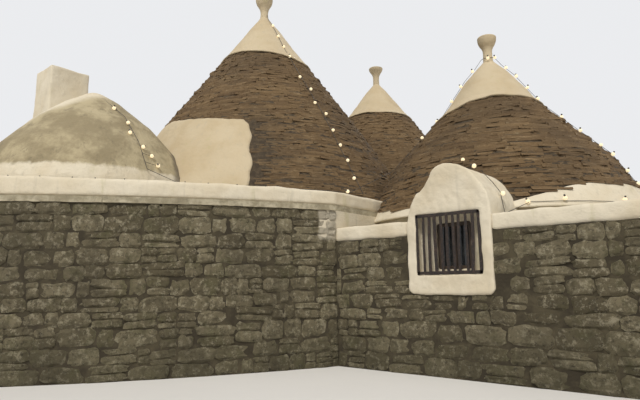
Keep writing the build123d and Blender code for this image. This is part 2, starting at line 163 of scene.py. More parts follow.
# Outer slopes from the eave to the neck, as radius and height
MAIN_SLOPE = ((3.83, 2.985), (2.55, 5.0), (0.95, 7.2), (0.42, 8.0), (0.235, 8.24), (0.125, 8.4))
REAR_SLOPE = ((3.70, 2.985), (2.325, 5.0), (1.01, 6.8), (0.59, 7.4), (0.31, 7.78), (0.125, 8.0))
WING_SLOPE = ((2.82, 2.5), (2.18, 3.6), (1.035, 4.83), (0.52, 5.6), (0.27, 5.89), (0.125, 6.05))
DOME_SLOPE = ((2.05, 3.1), (1.943, 3.35), (1.635, 3.9), (1.14, 4.46), (0.56, 4.94), (0.155, 5.2))
DOME_CENTRE = (-0.517, -4.275)

# Pinnacles above the neck, as radius and height
MAIN_PINNACLE = (
    (0.105, 8.47), (0.103, 8.6), (0.135, 8.72), (0.187, 8.81), (0.217, 8.89), (0.226, 8.97), (0.200, 9.05),
    (0.10, 9.095), (0.0, 9.098),
)
REAR_PINNACLE = (
    (0.105, 8.07), (0.100, 8.27), (0.125, 8.38), (0.170, 8.46), (0.213, 8.53), (0.232, 8.585), (0.224, 8.622),
    (0.12, 8.636), (0.0, 8.638),
)
WING_PINNACLE = (
    (0.105, 6.12), (0.100, 6.31), (0.120, 6.39), (0.155, 6.45), (0.183, 6.52), (0.195, 6.585), (0.188, 6.635),
    (0.10, 6.660), (0.0, 6.663),
)

# Lower edges of the white caps, as heading and height
MAIN_CAP_EDGE = (
    (-180, 6.95), (-140, 6.94), (-96, 7.05), (-67, 6.99), (-47, 6.95), (-25, 6.90), (-3, 6.81), (60, 6.88), (180, 6.95),
)
REAR_CAP_EDGE = ((-180, 6.72), (-60, 6.70), (20, 6.66), (180, 6.72))
WING_CAP_EDGE = ((-180, 4.72), (-140, 4.63), (-115, 4.80), (-95, 4.90), (-60, 4.95), (0, 4.90), (180, 4.72))

# Sides of a cap, and its rounded lip: where the slope is read, how far it stands off it, and its rise
CAP_SIDES = 96
CAP_LIP = ((0.0, -0.05, 0.016), (0.0, 0.040, 0.002), (0.0, 0.056, 0.016), (0.05, 0.052, 0.05))

# Steps of a plaster sheet across and up, how deep it goes into the roof, and how far it stands proud and swells
SHEET_STEPS = (112, 44)
SHEET_SINK = 0.03
COAT_RELIEF = (0.034, 0.012)
OPEN_FOOT_RELIEF = (0.014, 0.004)

# Plaster coat on the main cone: its top by heading, and its right edge by height
COAT_TOP = ((-152, 5.12), (-94.5, 5.03), (-83, 4.93), (-67, 4.84), (-52, 4.74))
COAT_RIGHT = ((3.1, -49.2), (3.31, -48.3), (3.6, -48.3), (3.95, -49.4), (4.32, -49.2), (4.6, -51.0), (4.76, -54.0))
COAT_LEFT = -152
COAT_FOOT = 3.12

# Limewashed foot of the wing cone on each side of the surround, where the slabs end higher:
# its left and right heading, and its top by heading
OPEN_FEET = (
    (-145, -90, ((-145, 2.70), (-137, 2.75), (-125, 2.70), (-110, 2.64), (-90, 2.60))),
    (-67, 56, ((-67, 2.53), (-58, 2.64), (-46, 2.80), (-34, 2.89), (-15, 2.93), (15, 2.92), (40, 2.80), (56, 2.62))),
)
OPEN_FOOT_FOOT = 2.47
SKIRT_DEPTH = 0.12
SKIRT_PROUD = 0.022

# Half width of the surround's crown by height, as a share of its width at the foot
SURROUND_WIDTHS = ((2.1, 1.0), (2.44, 0.97), (2.69, 0.84), (2.9, 0.62), (3.05, 0.36), (3.1, 0.1))

# Limewash on the dome: its height at the foot, and its reach round the chimney, where the white is also painted light
# from the bulbs. Painted shade in the crease beside the main cone follows that cone's slope.
DOME_LIMEWASH_TOP = 3.36
CHIMNEY_LIMEWASH_AND_LIGHT = 1.20
MAIN_SLOPE_FALL = 0.635
VALLEY_SHADE_REACH = 5.93

# Limewash round the end of the street wall: its reach, and how far it starts inside the flank
CORNER_LIMEWASH = 0.36
FLANK_INSIDE = 0.3

# Headings of the cables that run up and down the slopes
MAIN_CABLE = -14
DOME_CABLE = 0
WING_LEFT_CABLE = -137
WING_RIGHT_CABLE = -4

# Bulbs on the roofs: cable, then heading and height of each bulb on the slope
MAIN_BULBS = (MAIN_CABLE, (
    (-14.2, 7.23), (-13.9, 6.87), (-15.8, 6.15), (-12, 5.79), (-15.4, 5.34), (-12, 5.05), (-13.2, 4.59),
    (-13.4, 4.20), (-13.6, 3.82), (-14.8, 3.39), (-14.2, 7.62), (-13.8, 8.02),
))
WING_LEFT_BULBS = (WING_LEFT_CABLE, ((-136, 5.82), (-138, 5.48), (-136.5, 5.14), (-137.8, 4.69), (-136.4, 4.32)))
WING_RIGHT_BULBS = (WING_RIGHT_CABLE, (
    (-3, 5.80), (-5, 5.55), (-3.2, 5.25), (-4.8, 4.95), (-3.4, 4.47), (-4.6, 4.12), (-3.5, 3.78), (-4.6, 3.57),
    (-3.6, 3.24), (-4.5, 2.98),
))
DOME_BULBS = (DOME_CABLE, ((-5, 4.70), (0, 4.35), (-3, 4.10), (2, 3.82), (6, 3.66), (8, 3.48)))
NECK_BULBS = ((-70, 6.10), (-15, 6.12))
LOOSE_BULBS = (
    (5.75, -0.83, 3.44), (6.30, -1.70, 3.10), (6.72, -1.72, 2.62), (6.86, -1.05, 2.56), (7.32, -0.72, 2.60),
    (7.98, 0.20, 2.61), (8.30, 0.90, 2.61), (3.82, -1.60, 3.02),
)


# Helpers for nodes

def add_node(tree, kind, settings=None, **inputs):
    """Add a node to a tree. An input is a value, or a socket that it is linked from."""
    made = tree.nodes.new(kind)
    for key, value in (settings or {}).items():
        setattr(made, key, value)
    for key, value in inputs.items():
        socket = made.inputs[key.replace("_", " ")]
        if isinstance(value, bpy.types.NodeSocket):
            tree.links.new(value, socket)
        else:
            socket.default_value = value
    return made


def colour(red, green, blue):
    return (red, green, blue, 1.0)


def numbered_node(tree, kind, settings, values):
    """Add a node, and fill its inputs by their numbers, each from a value or a socket."""
    made = add_node(tree, kind, settings)
    for index, value in values.items():
        if isinstance(value, bpy.types.NodeSocket):
            tree.links.new(value, made.inputs[index])
        else:
            made.inputs[index].default_value = value
    return made


def mix_colours(tree, factor, first, second):
    """Blend two colours, each a value or a socket, and return the result's socket."""
    values = {0: factor, 6: first, 7: second}
    return numbered_node(tree, "ShaderNodeMix", {"data_type": "RGBA"}, values).outputs[2]


def noise_value(tree, vector, scale, detail, roughness):
    """Value of a noise texture."""
    return add_node(
        tree, "ShaderNodeTexNoise", Vector=vector, Scale=scale, Detail=detail, Roughness=roughness
    ).outputs[0]


def stretched(tree, vector, scale):
    """Coordinates stretched by a scale for each axis."""
    return add_node(tree, "ShaderNodeMapping", Vector=vector, Scale=scale).outputs[0]


def stepped(tree, value, low, high):
    """Smooth step from 0 to 1 as a value goes from low to high."""
    settings = {"interpolation_type": "SMOOTHSTEP"}
    return numbered_node(tree, "ShaderNodeMapRange", settings, {0: value, 1: low, 2: high}).outputs[0]


def calculate(tree, operation, first, second=0.0):
    """Math node on sockets or numbers."""
    return numbered_node(tree, "ShaderNodeMath", {"operation": operation}, {0: first, 1: second}).outputs[0]


def both(tree, *masks):
    """Product of some masks."""
    result = masks[0]
    for mask in masks[1:]:
        result = calculate(tree, "MULTIPLY", result, mask)
    return result


def wobbled(tree, place, scale, detail, roughness, size):
    """Shift in all directions, of noise at a place."""
    wander = add_node(tree, "ShaderNodeTexNoise", Vector=place, Scale=scale, Detail=detail, Roughness=roughness)
    values = {0: wander.outputs["Color"], 1: (0.5, 0.5, 0.5)}
    centred = numbered_node(tree, "ShaderNodeVectorMath", {"operation": "SUBTRACT"}, values)
    scaled = add_node(tree, "ShaderNodeVectorMath", {"operation": "SCALE"}, Scale=size)
    tree.links.new(centred.outputs[0], scaled.inputs[0])
    return scaled.outputs[0]


def axes_of(tree, place):
    """X, Y and Z of some coordinates, with a little noise on them so that a border isn't straight."""
    values = {0: place, 1: wobbled(tree, place, 3.2, 5.0, 0.65, 0.24)}
    moved = numbered_node(tree, "ShaderNodeVectorMath", {"operation": "ADD"}, values)
    return add_node(tree, "ShaderNodeSeparateXYZ", Vector=moved.outputs[0]).outputs


def distance_from(tree, axes, centre):
    """Distance in plan from an upright line."""
    squares = []
    for axis in (0, 1):
        gap = calculate(tree, "SUBTRACT", axes[axis], centre[axis])
        squares.append(calculate(tree, "MULTIPLY", gap, gap))
    return calculate(tree, "SQRT", calculate(tree, "ADD", *squares))


def bumped(tree, height, strength, distance, normal=None):
    """Bump from a height socket."""
    made = add_node(tree, "ShaderNodeBump", Height=height, Strength=strength, Distance=distance)
    if normal is not None:
        tree.links.new(normal, made.inputs["Normal"])
    return made.outputs[0]


def new_finish(name, roughness):
    """Start a material, and give its tree, shader and object coordinates."""
    made = bpy.data.materials.new(name)
    made.use_nodes = True
    tree = made.node_tree
    shader = tree.nodes["Principled BSDF"]
    shader.inputs["Roughness"].default_value = roughness
    place = tree.nodes.new("ShaderNodeTexCoord").outputs["Object"]
    return made, tree, shader, place


def tone_of_piece(tree):
    """Per-stone tone, stored on the mesh when the stones were laid."""
    made = tree.nodes.new("ShaderNodeAttribute")
    made.attribute_name = "tone"
    return made.outputs["Fac"]


# Finishes

NEW_LIMEWASH = (0.73, 0.665, 0.53)
OLD_LIMEWASH = (0.57, 0.48, 0.33)


class Patches(NamedTuple):
    """Patches of noise in a colour: the noise, where it steps from 0 to 1, how strong they are, and how stretched."""

    scale: float
    detail: float
    roughness: float
    low: float
    high: float
    strength: float
    tint: tuple
    stretch: tuple = (1.0, 1.0, 1.0)


class Relief(NamedTuple):
    """Bumps of noise: the noise, how strong and how deep they are, and how stretched."""

    scale: float
    detail: float
    roughness: float
    strength: float
    depth: float
    stretch: tuple = (1.0, 1.0, 1.0)


def layered(tree, place, base, *layers):
    """Lay patches over a colour, and return the result's socket."""
    for layer in layers:
        where = stretched(tree, place, layer.stretch)
        values = noise_value(tree, where, layer.scale, layer.detail, layer.roughness)
        mask = both(tree, stepped(tree, values, layer.low, layer.high), layer.strength)
        base = mix_colours(tree, mask, base, colour(*layer.tint))
    return base


def embossed(tree, place, *reliefs):
    """Lay bumps over each other, and return the normal's socket."""
    normal = None
    for relief in reliefs:
        where = stretched(tree, place, relief.stretch)
        values = noise_value(tree, where, relief.scale, relief.detail, relief.roughness)
        normal = bumped(tree, values, relief.strength, relief.depth, normal)
    return normal


def dressed_finish(made, tree, shader, base, normal=None):
    """Link a material's colour and normal to its shader."""
    tree.links.new(base, shader.inputs["Base Color"])
    if normal:
        tree.links.new(normal, shader.inputs["Normal"])
    return made


def patched_finish(name, roughness, base, patches, reliefs, **settings):
    """Material of one colour with patches and bumps, and with any other inputs of its shader."""
    made, tree, shader, place = new_finish(name, roughness)
    for key, value in settings.items():
        shader.inputs[key.replace("_", " ")].default_value = value
    return dressed_finish(
        made, tree, shader, layered(tree, place, colour(*base), *patches), embossed(tree, place, *reliefs)
    )


def limewash_patches(tint):
    """Warm clouds, rain streaks, algae and spots on limewash."""
    warm = tuple(part * fade for part, fade in zip(tint, (0.86, 0.81, 0.72)))
    return (
        Patches(1.5, 6.0, 0.55, 0.35, 0.70, 0.70, warm),
        Patches(1.5, 5.0, 0.60, 0.55, 0.75, 0.34, (0.42, 0.385, 0.30), (7.0, 7.0, 0.8)),
        Patches(1.3, 5.0, 0.60, 0.60, 0.74, 0.35, (0.43, 0.40, 0.19), (3.4, 3.4, 0.5)),
        Patches(21.0, 6.0, 0.70, 0.62, 0.72, 0.40, (0.40, 0.365, 0.29)),
    )


def limewashed_colour(tree, place):
    """Colour of new limewash, to blend with what it covers."""
    return layered(tree, place, colour(*NEW_LIMEWASH), *limewash_patches(NEW_LIMEWASH))


def wall_stone_colour(tree, place, tone):
    """Mottled rubble: brown-grey stone, pale patches that are painted highlights, dark patches and moss, and darker
    towards the bottom.
    """
    base = layered(
        tree, place, mix_colours(tree, tone, colour(0.165, 0.135, 0.074), colour(0.390, 0.335, 0.208)),
        Patches(7.0, 7.0, 0.75, 0.46, 0.60, 0.60, (0.120, 0.100, 0.054)),
        # Pale patches on the stone faces are painted highlights.
        Patches(11.0, 9.0, 0.80, 0.51, 0.60, 0.70, (0.68, 0.61, 0.43)),
        Patches(2.4, 6.0, 0.70, 0.49, 0.66, 0.50, (0.135, 0.130, 0.048)),
    )
    # Darker towards the bottom of the walls, over the lowest metre.
    height = add_node(tree, "ShaderNodeSeparateXYZ", Vector=place).outputs[2]
    low = stepped(tree, calculate(tree, "SUBTRACT", 1.0, height), 0.0, 0.9)
    return layered(
        tree, place, mix_colours(tree, both(tree, low, 0.4), base, colour(0.095, 0.090, 0.042)),
        Patches(0.9, 5.0, 0.55, 0.46, 0.66, 0.45, (0.085, 0.070, 0.038), (1.0, 1.0, 0.45)),
        Patches(17.0, 8.0, 0.80, 0.54, 0.62, 0.75, (0.050, 0.040, 0.022)),
    )


def limewash_by_corner(tree, place):
    """Mask of the limewash that wraps round the end of the street wall above the wing's coping."""
    axes = axes_of(tree, place)
    high = stepped(tree, axes[2], wing_top - 0.02, wing_top + 0.10)
    end = stepped(tree, calculate(tree, "SUBTRACT", CORNER_LIMEWASH, distance_from(tree, axes, corner)), 0.0, 0.06)
    flank = stepped(tree, axes[1], corner.y + 0.05, corner.y + 0.15)
    before_back = stepped(tree, calculate(tree, "SUBTRACT", wing_back, axes[1]), 0.0, 0.1)
    on_flank = stepped(tree, calculate(tree, "SUBTRACT", axes[0], corner.x - FLANK_INSIDE), 0.0, 0.06)
    return both(tree, high, calculate(tree, "MAXIMUM", end, both(tree, flank, before_back, on_flank)))


def wall_stone_finish():
    made, tree, shader, place = new_finish("wall_stone", 0.93)
    base = wall_stone_colour(tree, place, tone_of_piece(tree))
    base = mix_colours(tree, limewash_by_corner(tree, place), base, limewashed_colour(tree, place))
    normal = embossed(tree, place, Relief(14.0, 8.0, 0.78, 1.0, 0.16), Relief(60.0, 5.0, 0.7, 0.7, 0.012))
    return dressed_finish(made, tree, shader, base, normal)


def wall_mortar_finish():
    made, tree, shader, place = new_finish("wall_mortar", 0.96)
    earth = Patches(3.0, 6.0, 0.7, 0.40, 0.65, 1.0, (0.085, 0.070, 0.040))
    base = layered(tree, place, colour(0.038, 0.030, 0.017), earth)
    base = mix_colours(tree, limewash_by_corner(tree, place), base, limewashed_colour(tree, place))
    return dressed_finish(made, tree, shader, base, embossed(tree, place, Relief(30.0, 8.0, 0.7, 0.9, 0.02)))


def roof_slab_finish():
    """Thin brown-grey slabs with pale broken edges, lichen and soot."""
    made, tree, shader, place = new_finish("roof_slabs", 0.94)
    along_bed = (1.0, 1.0, 7.0)
    base = layered(
        tree, place, mix_colours(tree, tone_of_piece(tree), colour(0.105, 0.064, 0.029), colour(0.220, 0.145, 0.070)),
        Patches(3.2, 6.0, 0.70, 0.54, 0.70, 0.60, (0.37, 0.27, 0.15), along_bed),
        Patches(8.0, 7.0, 0.72, 0.57, 0.70, 0.40, (0.39, 0.315, 0.19)),
        Patches(0.8, 5.0, 0.55, 0.42, 0.64, 0.42, (0.080, 0.056, 0.032), (1.0, 1.0, 0.6)),
    )
    normal = embossed(tree, place, Relief(9.0, 8.0, 0.7, 0.9, 0.03, along_bed), Relief(55.0, 5.0, 0.7, 0.6, 0.008))
    return dressed_finish(made, tree, shader, base, normal)


def dome_mortar_finish():
    """Grey weathered mortar, limewashed along the foot of the dome and round the chimney, where the white is also
    painted light from the bulbs, with painted shade in the crease beside the main cone.
    """
    made, tree, shader, place = new_finish("dome_mortar", 0.92)
    grey = layered(
        tree, place, colour(0.29, 0.240, 0.145),
        Patches(1.8, 7.0, 0.65, 0.38, 0.62, 1.0, (0.47, 0.400, 0.255)),
        Patches(3.6, 7.0, 0.70, 0.54, 0.68, 0.6, (0.185, 0.155, 0.098), (1.6, 1.6, 0.7)),
    )
    axes = axes_of(tree, place)
    foot = stepped(tree, calculate(tree, "SUBTRACT", DOME_LIMEWASH_TOP, axes[2]), -0.03, 0.05)
    # Round the chimney the white is limewash and also painted light from the bulbs.
    limewash_and_light_by_chimney = calculate(tree, "SUBTRACT", CHIMNEY_LIMEWASH_AND_LIGHT, distance_from(tree, axes, chimney_centre))
    white = calculate(tree, "MAXIMUM", foot, stepped(tree, limewash_and_light_by_chimney, -0.15, 0.15))
    base = mix_colours(tree, white, grey, limewashed_colour(tree, place))
    # Painted shade in the crease where the dome meets the main cone.
    slope = calculate(tree, "MULTIPLY", axes[2], MAIN_SLOPE_FALL)
    gap = calculate(tree, "ADD", distance_from(tree, axes, (0.0, 0.0)), slope)
    valley_shade = stepped(tree, calculate(tree, "SUBTRACT", VALLEY_SHADE_REACH, gap), -0.10, 0.06)
    base = mix_colours(tree, both(tree, valley_shade, 0.75), base, colour(0.120, 0.100, 0.075))
    normal = embossed(tree, place, Relief(4.0, 7.0, 0.6, 0.7, 0.08), Relief(48.0, 6.0, 0.7, 0.6, 0.010))
    return dressed_finish(made, tree, shader, base, normal)


def plain_finishes():
    """Finishes that are one colour with patches and bumps."""
    lumps = (Relief(5.0, 6.0, 0.6, 0.5, 0.05), Relief(70.0, 5.0, 0.65, 0.4, 0.004))
    return {
        "limewash": patched_finish("limewash", 0.88, NEW_LIMEWASH, limewash_patches(NEW_LIMEWASH), lumps),
        "old_limewash": patched_finish("old_limewash", 0.88, OLD_LIMEWASH, limewash_patches(OLD_LIMEWASH), lumps),
        # Dark bed behind the roof slabs: painted shade that shows in the gaps between slabs.
        "slab_bed": patched_finish(
            "slab_bed", 0.97, (0.044, 0.031, 0.018),
            [Patches(12.0, 6.0, 0.7, 0.40, 0.66, 1.0, (0.095, 0.069, 0.040))],
            [Relief(30.0, 7.0, 0.7, 0.9, 0.02)],
        ),
        "pale": patched_finish(
            "pale_slabs", 0.92, (0.30, 0.26, 0.175),
            [
                Patches(4.0, 6.0, 0.65, 0.40, 0.68, 1.0, (0.49, 0.44, 0.32)),
                Patches(11.0, 7.0, 0.70, 0.50, 0.66, 0.5, (0.17, 0.152, 0.108)),
            ],
            [Relief(24.0, 7.0, 0.7, 0.8, 0.02)],
        ),
        "iron": patched_finish(
            "wrought_iron", 0.62, (0.026, 0.021, 0.019),
            [Patches(34.0, 6.0, 0.7, 0.46, 0.66, 1.0, (0.075, 0.048, 0.036))],
            [Relief(160.0, 5.0, 0.55, 0.4, 0.002)], Metallic=0.35,
        ),
        "wood": patched_finish(
            "painted_wood", 0.6, (0.040, 0.027, 0.018),
            [Patches(2.0, 7.0, 0.65, 0.38, 0.66, 1.0, (0.090, 0.060, 0.038), (30.0, 30.0, 2.2))],
            [Relief(2.0, 7.0, 0.65, 0.5, 0.003, (30.0, 30.0, 2.2))],
        ),
        "glass": patched_finish(
            "window_glass", 0.06, (0.06, 0.065, 0.07),
            [Patches(9.0, 5.0, 0.55, 0.40, 0.75, 1.0, (0.12, 0.125, 0.12))],
            [], Transmission_Weight=0.6, IOR=1.45,
        ),
        "sheath": patched_finish(
            "cable_sheath", 0.6, (0.028, 0.025, 0.022),
            [Patches(26.0, 5.0, 0.55, 0.42, 0.70, 1.0, (0.085, 0.075, 0.060))],
            [Relief(120.0, 3.0, 0.55, 0.3, 0.001)],
        ),
    }


def bulb_finish():
    """Frosted warm bulb that is lit."""
    made, tree, shader, place = new_finish("lit_bulb", 0.35)
    frost = Patches(60.0, 3.0, 0.55, 0.35, 0.70, 1.0, (1.0, 0.90, 0.66))
    tint = layered(tree, place, colour(1.0, 0.80, 0.48), frost)
    tree.links.new(tint, shader.inputs["Emission Color"])
    shader.inputs["Emission Strength"].default_value = 0.8
    return dressed_finish(made, tree, shader, mix_colours(tree, 0.6, tint, colour(0.2, 0.15, 0.08)))


# Pieces

def finished(piece, finish, replaced=()):
    """Give a piece its finish and its place in the frame."""
    piece.data.materials.clear()
    piece.data.materials.append(finish)
    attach(piece, "root")
    if replaced:
        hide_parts(*replaced)
    return piece


def object_from(name, mesh):
    piece = bpy.data.objects.new(name, mesh)
    bpy.context.scene.collection.objects.link(piece)
    return piece


def baked(piece):
    """Replace a piece's mesh with its evaluated one and remove its modifiers."""
    graph = bpy.context.evaluated_depsgraph_get()
    mesh = bpy.data.meshes.new_from_object(piece.evaluated_get(graph))
    piece.modifiers.clear()
    old = piece.data
    piece.data = mesh
    if old.users == 0:
        bpy.data.meshes.remove(old)
    return piece


def merged_copy(name, *sources):
    """One mesh from copies of CAD nodes, with their doubled vertices merged."""
    whole = bmesh.new()
    for source in sources:
        whole.from_mesh(nodes[source].data)
    bmesh.ops.remove_doubles(whole, verts=whole.verts, dist=0.0005)
    mesh = bpy.data.meshes.new(name)
    whole.to_mesh(mesh)
    whole.free()
    return object_from(name, mesh)


def swell_at(place, size):
    """Slow swell of hand-laid plaster at a place."""
    spot = place / size + Vector((PLASTER_SEED * 3.1, PLASTER_SEED * 1.7, 0.0))
    return noise.noise(spot) + 0.5 * noise.noise(spot * 2.7)


def hand_plastered(name, sources, voxel, swell, swell_size, smoothing, reshape):
    """Soft-edged copy of some CAD nodes, with the slow swells that hand-laid plaster has."""
    piece = merged_copy(name, *sources)
    remesh = piece.modifiers.new("remesh", "REMESH")
    remesh.mode = "VOXEL"
    remesh.voxel_size = voxel
    relax = piece.modifiers.new("relax", "SMOOTH")
    relax.factor = 0.5
    relax.iterations = smoothing
    baked(piece)
    mesh = piece.data
    normals = [vertex.normal.copy() for vertex in mesh.vertices]
    for vertex, normal in zip(mesh.vertices, normals):
        vertex.co += normal * swell * swell_at(vertex.co, swell_size)
        if reshape:
            reshape(vertex.co)
    mesh.shade_smooth()
    return piece


def read_at(table, key):
    """Value of a table of pairs at a key, read in a straight line between its rows."""
    for (low, first), (high, second) in zip(table, table[1:]):
        if key <= high:
            return first + (second - first) * max(0.0, key - low) / (high - low)
    return table[-1][1]


def radius_at(slope, height):
    """Radius of an outer slope at a height."""
    return read_at([(z, radius) for radius, z in slope], height)


def grid_of(rows, closed_around):
    """Points and quads over rows of points, each row as long as the others."""
    count = len(rows[0])
    points = [point for row in rows for point in row]
    faces = []
    for low in range(0, (len(rows) - 1) * count, count):
        for step in range(count if closed_around else count - 1):
            after = (step + 1) % count
            faces.append((low + step, low + after, low + count + after, low + count + step))
    return points, faces


def rim_of(width, height):
    """Places of a grid's rim in its list of points, in order around it."""
    rim = list(range(width)) + [row * width + width - 1 for row in range(1, height)]
    rim += [(height - 1) * width + column for column in range(width - 2, -1, -1)]
    return rim + [row * width for row in range(height - 2, 0, -1)]


def outward_mesh(name, points, faces, merged=False):
    """Mesh from points and faces, with its faces turned outwards."""
    mesh = bpy.data.meshes.new(name)
    mesh.from_pydata(points, [], faces)
    shape = bmesh.new()
    shape.from_mesh(mesh)
    if merged:
        bmesh.ops.remove_doubles(shape, verts=shape.verts, dist=0.0001)
    bmesh.ops.recalc_face_normals(shape, faces=shape.faces)
    shape.to_mesh(mesh)
    shape.free()
    return mesh


def smooth_piece(name, points, faces):
    mesh = outward_mesh(name, points, faces, merged=True)
    mesh.shade_smooth()
    return object_from(name, mesh)


def shape_object(name, points, faces):
    """Unit shape that isn't linked to the scene."""
    return bpy.data.objects.new(name, outward_mesh(name, points, faces))


# Stones and slabs laid by Geometry Nodes

def rough_stone(name, seed):
    """Unit rubble stone: an uneven face that bulges forwards along X, over rounded corners."""
    dice = random.Random(seed)
    across = (-1, -0.72, -0.26, 0.26, 0.72, 1)
    up = (-1, -0.6, 0, 0.6, 1)
    taper, lean = dice.uniform(-0.10, 0.10), dice.uniform(-0.12, 0.12)
    points = []
    for v in up:
        for u in across:
            rim = max(abs(u), abs(v))
            rounding = 0.85 if abs(u) + abs(v) == 2 else 1.0
            y = 0.485 * u * rounding * (1 + taper * v) + dice.uniform(-0.03, 0.03)
            z = 0.475 * v * rounding * (1 + lean * u) + dice.uniform(-0.035, 0.035)
            points.append((0.49 - 0.20 * rim ** 4 - dice.uniform(0.0, 0.11), y, z))
    width = len(across)
    points, faces = grid_of([points[low:low + width] for low in range(0, len(points), width)], False)
    rim = rim_of(width, len(up))
    start = len(points)
    points += [(STONE_BACK, points[place][1], points[place][2]) for place in rim]
    for index, place in enumerate(rim):
        after = (index + 1) % len(rim)
        faces.append((place, rim[after], start + after, start + index))
    faces.append(tuple(start + index for index in range(len(rim))))
    return shape_object(name, points, faces)


def roof_slab(name, seed):
    """Unit roof slab: a flat stone with a broken front edge along X, cut back towards its top."""
    dice = random.Random(seed)
    front = [
        (0.5 + dice.uniform(-0.055, 0.02), y)
        for y in (-0.5, *(step / 6 - 0.5 + dice.uniform(-0.05, 0.05) for step in range(1, 6)), 0.5)
    ]
    plan = [(-0.5, 0.5), (-0.5, -0.5), *front]
    count = len(plan)
    points = [(x, y, -0.5 + dice.uniform(-0.04, 0.08)) for x, y in plan]
    points += [(x - (dice.uniform(0.06, 0.15) if x > 0 else 0), y, 0.5 - dice.uniform(-0.03, 0.10)) for x, y in plan]
    faces = [tuple(range(count - 1, -1, -1)), tuple(range(count, 2 * count))]
    for index in range(count):
        after = (index + 1) % count
        faces.append((index, after, count + after, count + index))
    return shape_object(name, points, faces)


def round_shape(name, profile, sides=12):
    """Unit turned shape about Z from radii and heights, closed at both ends."""
    rows = []
    for radius, height in profile:
        rows.append([
            (radius * math.cos(math.tau * index / sides), radius * math.sin(math.tau * index / sides), height)
            for index in range(sides)
        ])
    points, faces = grid_of(rows, True)
    last = len(points) - sides
    faces += [tuple(range(sides - 1, -1, -1)), tuple(range(last, last + sides))]
    made = shape_object(name, points, faces)
    made.data.shade_smooth()
    return made


def collected(name, *shapes):
    """Collection of unit shapes, kept out of the scene, that the laying picks from."""
    made = bpy.data.collections.new(name)
    for shape in shapes:
        made.objects.link(shape)
    return made


def laying_tree(name):
    """Geometry Nodes: set a stone on every point, turned and sized by the point's attributes."""
    tree = bpy.data.node_groups.new(name, "GeometryNodeTree")
    for socket, kind in (
        ("Places", "Geometry"), ("Stone shapes", "Collection"), ("Roughness", "Float"),
        ("Roughness scale", "Float"), ("Seed", "Int"), ("Finish", "Material"),
    ):
        tree.interface.new_socket(socket, in_out="INPUT", socket_type="NodeSocket" + kind)
    tree.interface.new_socket("Stones", in_out="OUTPUT", socket_type="NodeSocketGeometry")
    start = tree.nodes.new("NodeGroupInput")
    end = tree.nodes.new("NodeGroupOutput")

    def stored(attribute, kind):
        return add_node(tree, "GeometryNodeInputNamedAttribute", {"data_type": kind}, Name=attribute).outputs[0]

    shapes = add_node(tree, "GeometryNodeCollectionInfo", Collection=start.outputs["Stone shapes"])
    shapes.inputs["Separate Children"].default_value = True
    picks = add_node(tree, "FunctionNodeRandomValue", {"data_type": "INT"}, Seed=start.outputs["Seed"])
    picks.inputs[4].default_value = 0
    picks.inputs[5].default_value = 1000
    laid = add_node(tree, "GeometryNodeInstanceOnPoints", Points=start.outputs["Places"])
    tree.links.new(shapes.outputs[0], laid.inputs["Instance"])
    laid.inputs["Pick Instance"].default_value = True
    tree.links.new(picks.outputs[2], laid.inputs["Instance Index"])
    turn = add_node(tree, "FunctionNodeEulerToRotation", Euler=stored("turn", "FLOAT_VECTOR"))
    tree.links.new(turn.outputs[0], laid.inputs["Rotation"])
    tree.links.new(stored("size", "FLOAT_VECTOR"), laid.inputs["Scale"])
    real = add_node(tree, "GeometryNodeRealizeInstances", Geometry=laid.outputs[0])
    place = tree.nodes.new("GeometryNodeInputPosition").outputs[0]
    wobble = wobbled(tree, place, start.outputs["Roughness scale"], 3.0, 0.5, start.outputs["Roughness"])
    moved = add_node(tree, "GeometryNodeSetPosition", Geometry=real.outputs[0], Offset=wobble)
    dressed = add_node(tree, "GeometryNodeSetMaterial", Geometry=moved.outputs[0], Material=start.outputs["Finish"])
    tree.links.new(dressed.outputs[0], end.inputs[0])
    return tree


def set_input(modifier, name, value):
    """Set a Geometry Nodes input by the identifier of its named socket."""
    for socket in modifier.node_group.interface.items_tree:
        if socket.name == name and socket.in_out == "INPUT":
            modifier[socket.identifier] = value
            return
    raise KeyError(name)


def lay_stones(name, places, shapes, tree, finish, roughness, seed):
    """Lay stones on a list of (position, turn, size, tone) and bake them into one mesh."""
    mesh = bpy.data.meshes.new(name)
    mesh.from_pydata([place[0] for place in places], [], [])
    for index, attribute, kind, key in (
        (1, "turn", "FLOAT_VECTOR", "vector"), (2, "size", "FLOAT_VECTOR", "vector"), (3, "tone", "FLOAT", "value")
    ):
        layer = mesh.attributes.new(attribute, kind, "POINT")
        layer.data.foreach_set(key, np.array([place[index] for place in places], np.float32).ravel())
    piece = object_from(name, mesh)
    modifier = piece.modifiers.new("laying", "NODES")
    modifier.node_group = tree
    for socket, value in (
        ("Stone shapes", shapes), ("Roughness", roughness[0]), ("Roughness scale", roughness[1]),
        ("Seed", seed), ("Finish", finish),
    ):
        set_input(modifier, socket, value)
    baked(piece)
    return finished(piece, finish)


# Walls

def street_wall_place(distance):
    """Point on the street wall at a distance from the inner corner, and the direction it faces."""
    inward = math.radians(STREET_HEADING - 90)
    centre = corner + STREET_RADIUS * Vector((math.cos(inward), math.sin(inward)))
    facing = inward - math.pi - distance / STREET_RADIUS
    return centre + STREET_RADIUS * Vector((math.cos(facing), math.sin(facing))), facing


def straight_place(start, end):
    """Place function along a straight wall, which faces to the left of its direction of travel."""
    along = (end - start).normalized()
    facing = math.atan2(-along.x, along.y) + math.pi

    def place(distance):
        return start + along * distance, facing

    return place, (end - start).length


